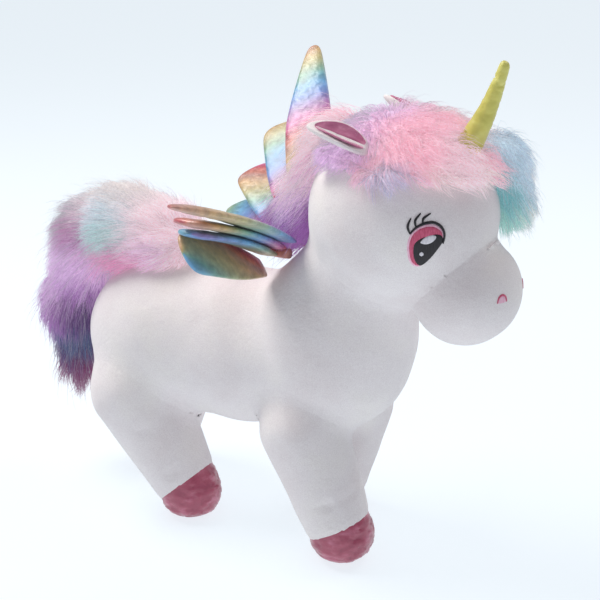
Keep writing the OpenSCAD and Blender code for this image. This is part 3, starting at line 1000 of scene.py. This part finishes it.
LOCK_PATCHES = [
    (256, 26, 450, 14, TEAL), (266, 40, 428, 12, TEAL), (268, 46, 406, 12, MINT),
    (270, 58, 474, 15, PALE_BLUE), (286, 66, 440, 12, PALE_BLUE), (262, 84, 455, 15, CREAM),
    (276, 80, 420, 13, CREAM), (250, 92, 430, 14, GREY),
]
MANE_PATCHES = [
    (110, -36, 480, 14, PALE_PINK), (96, -40, 462, 13, MAGENTA), (84, -30, 480, 14, PALE_PINK),
    (88, -34, 444, 11, MAUVE), (92, -38, 430, 10, BLUE_GREY), (70, -26, 440, 13, PALE_PINK),
    (66, -26, 420, 11, MAUVE), (78, -28, 404, 12, PURPLE), (60, -10, 396, 12, PURPLE),
    (56, 0, 430, 12, PALE_PINK), (100, 30, 460, 18, PINK), (76, 28, 420, 18, BLUE_GREY),
]


def tail_base_field(p):
    return taper(p, TAIL_ROOT, TAIL_CREST)


def tail_brush_field(p):
    return melt(taper(p, TAIL_FALL, TAIL_BEND), taper(p, TAIL_BEND, TAIL_TIP), 20)


def tail_flow(p):
    """The tail is combed back over its crest and then down to its tip."""
    stops = np.array([TAIL_ROOT[:3], TAIL_CREST[:3], TAIL_FALL[:3], TAIL_BEND[:3], TAIL_TIP[:3]], float)
    ways = unit(np.diff(stops, axis=0))
    mids = (stops[:-1] + stops[1:]) / 2
    weights = np.exp(-((p[:, None, :] - mids[None]) ** 2).sum(2) / (2 * 38.0 ** 2)) + 1e-6
    return unit((weights / weights.sum(1, keepdims=True)) @ ways)


def greyed(height):
    """Tips above a height go grey, as the guard hairs along the top do."""
    def tinge(p, along, dye_and_root_shade):
        share = (np.clip((p[:, 2] - height) / 14, 0, 1) * along ** 1.5 * 0.65)[:, None]
        return dye_and_root_shade * (1 - share) + linear(GREY) * share
    return tinge


def clear_of_body(p):
    return body_field(p) > 1


def make_tail():
    base = furry("tail_base_pile", between(TAIL_ROOT, TAIL_CREST), tail_base_field, 9500, clear_of_body,
                 tail_flow, lambda p: np.full(len(p), 38.0), 1.0, 0.35, TAIL_PATCHES, 11, outer=greyed(372))
    brush = furry("tail_brush_pile", between(TAIL_FALL, TAIL_BEND) + between(TAIL_BEND, TAIL_TIP),
                  tail_brush_field, 12000, clear_of_body, tail_flow,
                  lambda p: 40.0 + 8 * np.clip((200 - p[:, 2]) / 80, 0, 1), 0.75, 0.3, TAIL_PATCHES, 12)
    for pile, name in ((base, "tail_base"), (brush, "tail_brush")):
        finished(pile, "tail_fur", None, name + "_fur", name + "_fill")
        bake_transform(pile)


CAP = 9
EAR_PLACE = (146, 86, 470)
EAR_ROOM = 46
BROW_LINE = 440
HORN_BASE = np.array([234.0, 0.0, 477.0])
HORN_ROOM = 15


def cap_field(p):
    """Fur skin over the crown and brow: a layer on the head above a slanted line."""
    line = 472 - 0.10 * (p[:, 0] - 190) - 0.16 * np.maximum(p[:, 1], 0)
    cap = -melt(CAP - head_field(p), p[:, 2] - line, 10)
    for side in (RIGHT, LEFT):
        ear = np.array(EAR_PLACE) * (1, side, 1)
        cap = -melt(-cap, np.linalg.norm(p - ear, axis=1) - EAR_ROOM, 6)
    return cap


def crown_flow(p):
    """The forelock is combed out from the crown, forwards and to the left side of the brow."""
    crown = np.array([158.0, -6.0, 520.0])
    away = unit((p - crown) * (1, 1, 0.15))
    return unit(away + np.array([0.25, 0.32, -0.15]))


def brow_length(p):
    front = np.clip((p[:, 0] - 150) / 90, 0, 1)
    return 24 + 8 * front + 8 * np.clip(p[:, 1] / 60, 0, 1)


def off_the_horn(p):
    """Hair keeps clear of the horn's base."""
    return np.linalg.norm((p - HORN_BASE)[:, :2] - np.array([4, 0]), axis=1) > HORN_ROOM


LOCK = ((250, 54, 462, 27), (266, 64, 418, 17))
MANE = ((106, 2, 462, 33), (74, 0, 410, 24), (42, 0, 384, 15))


def lock_field(p):
    return taper(p, *LOCK)


def mane_field(p):
    return melt(taper(p, *MANE[:2]), taper(p, *MANE[1:]), 14)


def mane_flow(p):
    """The mane is combed back and down, and out to both sides of the neck."""
    out = np.sign(p[:, 1]) * np.clip(np.abs(p[:, 1]) / 18, 0, 1)
    return unit(np.stack([np.full(len(p), -0.75), out * 0.3, np.full(len(p), -0.62)], axis=1))


def lock_flow(p):
    """The side lock is combed down, and out from its own middle."""
    return unit(np.tile([0.12, 0.25, -0.8], (len(p), 1)) + (p - (250, 55, 430)) * (0.012, 0.016, 0))


def on_the_brow(p):
    return (p[:, 2] > BROW_LINE) & (head_field(p) > 1) & off_the_horn(p)


def make_head_fur():
    forelock = furry("forelock_pile", [(*HEAD[0], 106)], cap_field, 10500, on_the_brow, crown_flow,
                     brow_length, 0.95, 0.75, FORELOCK_PATCHES, 13, clump=0.7, outer=greyed(524))
    lock = furry("side_lock_pile", between(*LOCK), lock_field, 4600, lambda p: head_field(p) > 2, lock_flow,
                 lambda p: np.full(len(p), 30.0), 0.8, 0.5, LOCK_PATCHES, 14, clump=0.65)
    mane = furry("mane_pile", between(*MANE[:2]) + between(*MANE[1:]), mane_field, 7500,
                 lambda p: body_field(p) > 0.5, mane_flow, lambda p: np.full(len(p), 50.0), 0.6, 0.3,
                 MANE_PATCHES, 15, clump=0.6)
    for pile, node in ((forelock, "forelock"), (lock, "side_lock"), (mane, "mane_crest")):
        finished(pile, "mane_fur", "body", node)


# ---------- wings ----------

FEATHER_HALF_T = 4.3
FEATHER_EDGE = 0.5


def node_points(node):
    """The points of a CAD node, in toy millimetres."""
    return to_toy([v.co for v in frame["nodes"][node].data.vertices])


def plate_lie(node, root):
    """How a flat CAD plate lies: its middle, the way along it from a root, and half its length and width."""
    p = np.unique(np.round(node_points(node), 3), axis=0)
    thin, _, long = np.linalg.eigh(np.cov((p - p.mean(0)).T))[1].T
    if (p.mean(0) - np.array(root)) @ long < 0:
        long = -long
    axes = (long, np.cross(thin, long), thin)
    spans = [p @ axis for axis in axes]
    centre = sum(axis * (span.max() + span.min()) / 2 for axis, span in zip(axes, spans))
    half_length, half_width, _ = ((span.max() - span.min()) / 2 for span in spans)
    return centre, long, half_length, half_width


def pillow(name, outline, half_t, long, wide, thin, start, length, width, rows=72, columns=22, bend=None,
           wrinkle=0.5, seed=0.0):
    """A padded shape from two crowned sheets sewn at their rim. Returns it, and u and v at its points."""
    u = 0.5 - 0.5 * np.cos(np.linspace(0, math.pi, rows))
    v = np.sin(np.linspace(-math.pi / 2, math.pi / 2, columns))
    uu, vv = np.meshgrid(u, v, indexing="ij")
    half = outline(uu) * width / 2
    edge = np.clip(1 - vv ** 2, 0, 1) * np.clip(1 - np.abs(2 * uu - 1) ** 14, 0, 1)
    crown = half_t * edge ** 0.42 * np.clip(half / (width * 0.28), 0, 1) ** 0.7
    sheets = []
    for sign in (1, -1):
        flat = start + long * (uu * length)[..., None] + wide * (vv * half)[..., None]
        lines = rough(flat.reshape(-1, 3), 15, seed + sign).reshape(uu.shape)
        along_rim = np.stack([uu.ravel() * length, vv.ravel() * 6, np.zeros(uu.size)], axis=1)
        puckers = rough(along_rim, 5.5, seed + 9).reshape(uu.shape) * np.abs(vv) ** 3 * edge ** 0.3
        lift = crown * (1 + 0.16 * lines) + wrinkle * puckers + FEATHER_EDGE * (edge > 0)
        shaped = flat + thin * (sign * lift)[..., None]
        if bend is not None:
            shaped = shaped + thin * bend(uu, vv)[..., None]
        sheets.append(shaped.reshape(-1, 3))
    points = np.concatenate(sheets)
    index = np.arange(rows * columns).reshape(rows, columns)
    quads = np.stack([index[:-1, :-1], index[1:, :-1], index[1:, 1:], index[:-1, 1:]], axis=-1).reshape(-1, 4)
    obj = build(name, points, quads, quads[:, ::-1] + rows * columns)
    bm = bmesh.new()
    bm.from_mesh(obj.data)
    u_layer = bm.verts.layers.float.new("u")
    v_layer = bm.verts.layers.float.new("v")
    for vert, at_u, at_v in zip(bm.verts, np.tile(uu.ravel(), 2), np.tile(vv.ravel(), 2)):
        vert[u_layer] = float(at_u)
        vert[v_layer] = float(at_v)
    bmesh.ops.remove_doubles(bm, verts=bm.verts, dist=0.00006)
    bmesh.ops.recalc_face_normals(bm, faces=bm.faces)
    bm.to_mesh(obj.data)
    bm.free()
    values = []
    for layer in ("u", "v"):
        row = np.zeros(len(obj.data.vertices), np.float32)
        obj.data.attributes[layer].data.foreach_get("value", row)
        obj.data.attributes.remove(obj.data.attributes[layer])
        values.append(row)
    return smooth(obj), *values


def blade(u):
    """Half width of the leading feather, which is widest at half its length and narrows to its tip."""
    inner = 0.42 + 0.58 * np.sin(math.pi / 2 * u / 0.55)
    outer = 1 - 0.74 * ((u - 0.55) / 0.45) ** 1.25
    body = np.where(u < 0.55, inner, outer)
    return body * np.sqrt(np.clip(1 - u ** 60, 0, 1)) * np.clip(u / 0.012, 0, 1) ** 0.5


def paddle(u):
    """Half width of the other feathers, which have a blunt tip with round corners."""
    body = 0.42 + 0.58 * np.sin(math.pi / 2 * np.clip(u / 0.6, 0, 1))
    return body * (1 - u ** 24) ** 0.5 * np.clip(u / 0.012, 0, 1) ** 0.5


FEATHER_LENGTH = 265
FEATHER_WIDTH = 58
FEATHER_START = 7
FEATHER_STEP = 9
ROOT_OVERHANG = 5
# For each side and feather: rise above level, sweep backwards, share of length, share of width, roll, droop
FEATHERS = {
    RIGHT: [(23.5, -4, 1.0, 1.0, 0, 4), (24, 3, 0.67, 0.95, 0, 3),
            (24, 4, 0.57, 0.9, 0, 3), (22.5, 5, 0.55, 0.92, 48, 2)],
    LEFT: [(47, 19, 1.0, 1.0, 0, 4), (41, 31, 0.67, 0.98, 0, 3),
           (31, 47, 0.57, 0.95, 0, 3), (17, 57, 0.5, 0.86, 0, 3)],
}
# For each side and feather: its print at the tip, and how far the print runs to the root and to the front
PRINTS = {
    RIGHT: [(0.9, 0.62, 0.05), (0.9, 0.9, 0.06), (0.5, -0.4, 0.1), (0.24, -0.42, 0.2)],
    LEFT: [(0.0, 1.75, 0.04), (0.08, 1.2, 0.06), (0.80, 1.0, -0.12), (0.3, 0.8, 0.1)],
}


def feather_frame(side, i, root):
    """Where a feather starts, and its long, wide and thin directions, as its CAD plate lies."""
    rise, sweep, _, _, roll, _ = FEATHERS[side][i]
    rise, sweep, roll = (math.radians(angle) for angle in (rise, sweep, roll))
    level = math.cos(sweep) * math.cos(rise)
    long = np.array([-math.sin(sweep), side * level, math.cos(sweep) * math.sin(rise)])
    thin = np.array([0, -side * math.sin(rise), math.cos(rise)])
    front = np.cross(thin, long) * -side
    start = root + (-FEATHER_STEP * i, 0, 0) + long * FEATHER_START + thin * FEATHER_STEP * (1.5 - i)
    if roll:
        c, s = math.cos(roll), math.sin(roll)
        front, thin = front * c - thin * s, thin * c + front * s
        start = start + front * 9 - thin * 2
    return start, long, front, thin


def drooping(droop):
    """A bend that lifts a feather's middle and lowers its tip."""
    def bend(u, v):
        return droop * np.sin(math.pi * u) - droop * u ** 3
    return bend


def roll_outline(u):
    return np.sqrt(np.clip(1 - np.abs(2 * u - 1) ** 6, 0, 1))


def make_wings():
    for side, side_name in SIDE_NAMES.items():
        low, high = (to_toy(corner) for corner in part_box(f"{side_name}_wing_root"))
        root = np.array([high[0] - ROOT_OVERHANG, (low[1] + high[1]) / 2, (low[2] + high[2]) / 2])
        for i, (_, _, long_share, wide_share, _, droop) in enumerate(FEATHERS[side]):
            node = f"{side_name}_feather_{i + 1}"
            start, long, front, thin = feather_frame(side, i, root)
            outline = blade if i == 0 else paddle
            feather, u, v = pillow(node + "_pad", outline, FEATHER_HALF_T, long, front, thin, start,
                                   FEATHER_LENGTH * long_share, FEATHER_WIDTH * wide_share,
                                   bend=drooping(droop), seed=3.0 * i + side)
            tip, along, across = PRINTS[side][i]
            paint(feather, "print", tip + along * (1 - u) + across * v + 2.0)
            nodes = [node] + ([f"{side_name}_wing_wadding"] if i == 0 else [])
            finished(feather, "rainbow_satin", f"{side_name}_wing", *nodes)
        radius = (high[2] - low[2]) / 2
        end = np.array([low[0], root[1], root[2]])
        x_way, y_way, z_way = np.eye(3)
        piece, u, v = pillow(f"{side_name}_wing_root_roll", roll_outline, radius * 0.95, x_way, y_way, z_way,
                             end, high[0] - low[0], 2 * radius, rows=30, columns=16)
        paint(piece, "print", 0.84 + 0.1 * u + 2.0)
        finished(piece, "rainbow_satin", f"{side_name}_wing", f"{side_name}_wing_root")


# ---------- ears and horn ----------


EAR_FACING = (0.12, 0.30, 0.90)


def ear_outline(u):
    return np.sqrt(np.clip(np.sin(math.pi * np.clip(u * 0.96 + 0.04, 0, 1)), 0, 1)) * (1 - 0.25 * u)


def ear_cup(u, v):
    return 7 * v ** 2 * np.sin(math.pi * np.clip(u, 0, 1)) - 3


def lining_cup(u, v):
    """The lining follows the ear's cup, with a crease along it."""
    cup = 7 * v ** 2 * np.sin(math.pi * np.clip(u * 0.86 + 0.08, 0, 1)) - 3
    return cup - 4.2 * np.exp(-((v - 0.12) / 0.16) ** 2) * np.clip(1.25 - u, 0, 1)


def make_ears():
    for side, name in SIDE_NAMES.items():
        joint = next(j for j in frame["joints"] if j["name"] == f"{name}_ear_fold")
        hinge = to_toy(joint["pos_m"])
        centre, long, half_length, half_width = plate_lie(f"{name}_ear_lining", hinge)
        length = np.linalg.norm(centre - hinge) + half_length + 8
        start = centre + long * (half_length + 7 - length)
        width = 2 * half_width + 12
        facing = np.array(EAR_FACING) * (1, side, 1)
        thin = unit(facing - long * (facing @ long))
        wide = np.cross(thin, long)
        back, _, _ = pillow(f"{name}_ear_back_pad", ear_outline, 3.6, long, wide, thin, start, length, width,
                            rows=48, columns=20, bend=ear_cup, wrinkle=0.3, seed=21)
        finished(back, "velour", f"{name}_ear", f"{name}_ear_back")
        lining, _, _ = pillow(f"{name}_ear_lining_satin", ear_outline, 1.3, long, wide, thin,
                              start + long * length * 0.09 + thin * 3.1, length * 0.8, width * 0.74,
                              rows=48, columns=26, bend=lining_cup, wrinkle=0.6, seed=22)
        finished(lining, "ear_satin", f"{name}_ear", f"{name}_ear_lining")


HORN_LEAN = math.radians(24)
HORN_LENGTH = 112
HORN_SUNK = 10
HORN_BASE_R = 16.8
HORN_TIP_R = 5.0
HORN_FLARE = 4.5
HORN_SAG = 5.0


def make_horn():
    """A stuffed satin cone that flares at its sewn base, with a few creases across it."""
    rows, columns = 120, 56
    way = np.array([math.sin(HORN_LEAN), 0, math.cos(HORN_LEAN)])
    front = np.array([way[2], 0, -way[0]])
    side = np.array([0, 1.0, 0])
    u = np.linspace(0, 1, rows)
    turn = np.linspace(0, 2 * math.pi, columns, endpoint=False)
    uu, tt = np.meshgrid(u, turn, indexing="ij")
    radius = HORN_BASE_R + (HORN_TIP_R - HORN_BASE_R) * uu ** 0.9 + HORN_FLARE * np.exp(-uu / 0.14)
    tip = np.clip((1 - uu) / 0.045, 0, 1)
    radius = radius * np.sqrt(1 - (1 - tip) ** 2)
    sag = HORN_SAG * np.sin(math.pi * uu)
    rise = way * (uu * (HORN_LENGTH + HORN_SUNK))[..., None]
    line = HORN_BASE - way * HORN_SUNK + rise + front * sag[..., None]
    ring = front * np.cos(tt)[..., None] + side * np.sin(tt)[..., None]
    skin = line + ring * radius[..., None]
    around = np.stack([np.cos(tt).ravel() * 9, np.sin(tt).ravel() * 9, uu.ravel() * 190], axis=1)
    crease = rough(around, 11, 2.2).reshape(uu.shape)
    pinch = 1.7 * np.exp(-((uu - 0.83 - 0.02 * np.sin(tt * 2)) / 0.012) ** 2)
    pinch = pinch * (0.4 + 0.6 * np.cos(tt - 3.6) ** 2)
    pull = 0.45 * np.exp(-(crease / 0.2) ** 2) * np.clip((1 - uu) * 6, 0, 1) + pinch
    skin = skin - ring * pull[..., None]
    index = np.arange(rows * columns).reshape(rows, columns)
    after = np.roll(index, -1, axis=1)
    quads = np.stack([index[:-1], after[:-1], after[1:], index[1:]], axis=-1).reshape(-1, 4)
    horn = build("horn_satin_cone", skin.reshape(-1, 3), quads, index[:1, ::-1])
    cleaned(horn, 0.00004)
    finished(horn, "horn_satin", "body", "horn_cover", "horn_fill")


# ---------- embroidery ----------


class Patch:
    """A place on the face where flat outlines are laid on the velour. u runs forwards and v upwards."""

    def __init__(self, centre, side):
        centre = settle(body_field, np.array([centre], float) * (1, side, 1))[0]
        self.normal = unit(slopes(body_field, centre[None]))[0]
        up = np.array([0, 0, 1.0])
        self.v = unit(up - self.normal * (up @ self.normal))
        self.u = unit(np.cross(self.normal, self.v)) * side
        self.centre = centre

    def lay(self, flat, height):
        """Points over the velour at each flat (u, v), raised by the heights."""
        flat = np.asarray(flat, float)
        p = self.centre + self.u * flat[:, :1] + self.v * flat[:, 1:]
        for _ in range(5):
            g = slopes(body_field, p)
            p = p - self.normal * (body_field(p) / (g @ self.normal))[:, None]
        return p + unit(slopes(body_field, p)) * np.asarray(height)[:, None]


def curve_point(a, b, c, d, f):
    """The point at a share f of the way from b to c, on a smooth curve through a, b, c and d."""
    square = (2 * a - 5 * b + 4 * c - d) * f ** 2
    cube = (3 * b - a - 3 * c + d) * f ** 3
    return 0.5 * (2 * b + (c - a) * f + square + cube)


def smooth_loop(stops, count=84):
    """A smooth closed line through a few points."""
    p = np.array(stops, float)
    n = len(p)
    out = []
    for k in range(count):
        t = k * n / count
        i = int(t)
        out.append(curve_point(*(p[(i + j - 1) % n] for j in range(4)), t - i))
    return np.array(out)


def smooth_line(stops, count=36):
    """A smooth open line through a few points."""
    p = np.array([stops[0], *stops, stops[-1]], float)
    segments = len(p) - 3
    out = []
    for k in range(count):
        t = min(k * segments / (count - 1), segments - 1e-6)
        i = int(t)
        out.append(curve_point(*p[i:i + 4], t - i))
    return np.array(out)


def stitched_shape(name, patch, stops, height):
    """A filled outline of satin stitch: crowned on top, and sunk into the velour at its rim."""
    rim = smooth_loop(stops)
    centre = rim.mean(0)
    rings = np.array([0.0, 0.3, 0.55, 0.75, 0.88, 0.95, 1.0])
    flat = np.concatenate([centre + (rim - centre) * ring for ring in rings[1:]])
    flat = np.concatenate([[centre], flat])
    share = np.concatenate([[0.0], np.repeat(rings[1:], len(rim))])
    top = patch.lay(flat, height * np.sqrt(np.clip(1 - share ** 8, 0, 1)) - 0.3 * (share > 0.99))
    low = patch.lay(flat, np.full(len(flat), -0.9))
    n = len(rim)
    first = np.arange(n) + 1
    tris = np.stack([np.zeros(n, int), first, np.roll(first, -1)], axis=1)
    quads = np.concatenate([np.stack([first + n * k, first + n * (k + 1), np.roll(first, -1) + n * (k + 1),
                                      np.roll(first, -1) + n * k], axis=1) for k in range(len(rings) - 2)])
    last = first + n * (len(rings) - 2)
    size = len(flat)
    wall = np.stack([last, last + size, np.roll(last, -1) + size, np.roll(last, -1)], axis=1)
    obj = build(name, np.concatenate([top, low]),
                tris, tris[:, ::-1] + size, quads, quads[:, ::-1] + size, wall)
    return cleaned(obj)


def stitched_line(name, patch, strokes, height):
    """Corded lines of satin stitch. Each stroke is (points, half width at its ends and at its middle)."""
    points, quads = [], []
    around = np.linspace(0, 2 * math.pi, 10, endpoint=False)
    for stops, ends, middle_w in strokes:
        line = smooth_line(stops)
        way = unit(np.gradient(line, axis=0))
        across = np.stack([-way[:, 1], way[:, 0]], axis=1)
        share = np.linspace(0, 1, len(line))
        width = ends + (middle_w - ends) * np.sin(math.pi * share)
        width = width * np.clip(np.minimum(share, 1 - share) / 0.03, 0.15, 1)
        out = across[:, None, :] * (width[:, None] * np.cos(around))[..., None]
        flat = (line[:, None, :] + out).reshape(-1, 2)
        lift = height * 0.35 + (height * np.sin(around))[None, :] * np.clip(width / middle_w, 0, 1)[:, None]
        start = sum(len(p) for p in points)
        points.append(patch.lay(flat, lift.ravel()))
        index = start + np.arange(len(flat)).reshape(len(line), -1)
        after = np.roll(index, -1, axis=1)
        quads.append(np.stack([index[:-1], index[1:], after[1:], after[:-1]], axis=-1).reshape(-1, 4))
    return cleaned(build(name, np.concatenate(points), *quads))


EYE_PLACE = (233, 77, 405)
# Outlines of stitching, as (u, v) from the middle of their patch
IRIS = [(-13, 12), (-17.5, 2), (-18, -8), (-15.5, -20), (-10, -26.5), (-3, -26.5), (6, -18), (13, -8),
        (18, -1), (19, 7), (16.5, 14), (8, 19), (-3, 18)]
IRIS_COLOUR = [(-11.6, 10.6), (-15.8, 1.5), (-16.2, -8), (-14, -19), (-9.5, -25), (-3, -25.5), (6, -17.5),
               (13, -8), (17.8, -1), (18.2, 7), (15.8, 12.6), (7.6, 17.2), (-2.8, 16.2)]
PUPIL = [(-12.4, -7.5), (-11, 0), (-4.5, 5.5), (4, 8), (12, 9.4), (17.6, 6.6), (18.4, 0), (13, -8.6),
         (6, -18), (-2, -25.6), (-7.2, -24), (-11.2, -16.4)]
SHINE = [(-5.4, 0.6), (-1.6, 5), (4, 7.6), (9.6, 7.8), (11.6, 5.4), (8, 0.8), (2, -1.6), (-3.2, -1.2)]
SHINE_DOT = [(-5.6, -11.8), (-3.1, -9.2), (-0.6, -11.8), (-3.1, -14.4)]
LID = [(-15.4, 8.6), (-10.5, 14.6), (-2.6, 19), (7.5, 20.4), (15.6, 16), (19.6, 8), (18.4, -2.4)]
LASHES = [[(-15.2, 8.8), (-17.6, 16.5), (-14.4, 24.8)], [(-9.4, 15.2), (-10.2, 22.6), (-4.5, 29.6)],
          [(-2.8, 19.2), (-1.8, 24.6), (5.5, 29.4)]]
NOSTRIL_PLACE = (300, 29, 342)
NOSTRIL = [(-6.4, -4.2), (-4.2, 1.6), (0.4, 3.8), (4.8, 1.4), (6.4, -4.4)]
NOSTRIL_FILL = [(-5.4, -3.8), (-3.4, 1.0), (0.4, 2.8), (4.0, 0.8), (5.4, -4.0), (0, -4.6)]


def make_face():
    for side, name in SIDE_NAMES.items():
        eye = Patch(EYE_PLACE, side)
        # Each layer: name, outline, height, material slot, material, the CAD nodes it stands for
        layers = [
            ("eye_rim", IRIS, 0.5, "iris_thread", "rim_thread", []),
            ("eye_iris_patch", IRIS_COLOUR, 0.9, "iris_thread", "iris_thread", ["eye_iris"]),
            ("eye_pupil_patch", PUPIL, 1.35, "black_thread", "black_thread", ["eye_pupil"]),
            ("eye_glint_patch", SHINE, 1.8, "white_thread", "white_thread", ["eye_glint"]),
            ("eye_dot_patch", SHINE_DOT, 1.8, "white_thread", "white_thread", []),
        ]
        for part, outline, height, slot, finish, nodes in layers:
            patch = stitched_shape(f"{name}_{part}", eye, outline, height)
            finished(patch, slot, "body", *[f"{name}_{node}" for node in nodes], finish=finish)
        strokes = [(LID, 0.8, 1.5)] + [(lash, 0.5, 1.25) for lash in LASHES]
        lashes = stitched_line(f"{name}_eye_lashes_cord", eye, strokes, 1.5)
        finished(lashes, "black_thread", "body", f"{name}_eye_lashes")
        nose = Patch(NOSTRIL_PLACE, side)
        fill = stitched_shape(f"{name}_nostril_fill", nose, NOSTRIL_FILL, 0.3)
        finished(fill, "iris_thread", "body", finish="rim_thread")
        arch = stitched_line(f"{name}_nostril_cord", nose, [(NOSTRIL, 0.6, 1.1)], 0.7)
        finished(arch, "iris_thread", "body", f"{name}_nostril")


make_camera()
make_studio()
make_body()
make_wings()
make_ears()
make_horn()
make_face()
make_head_fur()
make_tail()
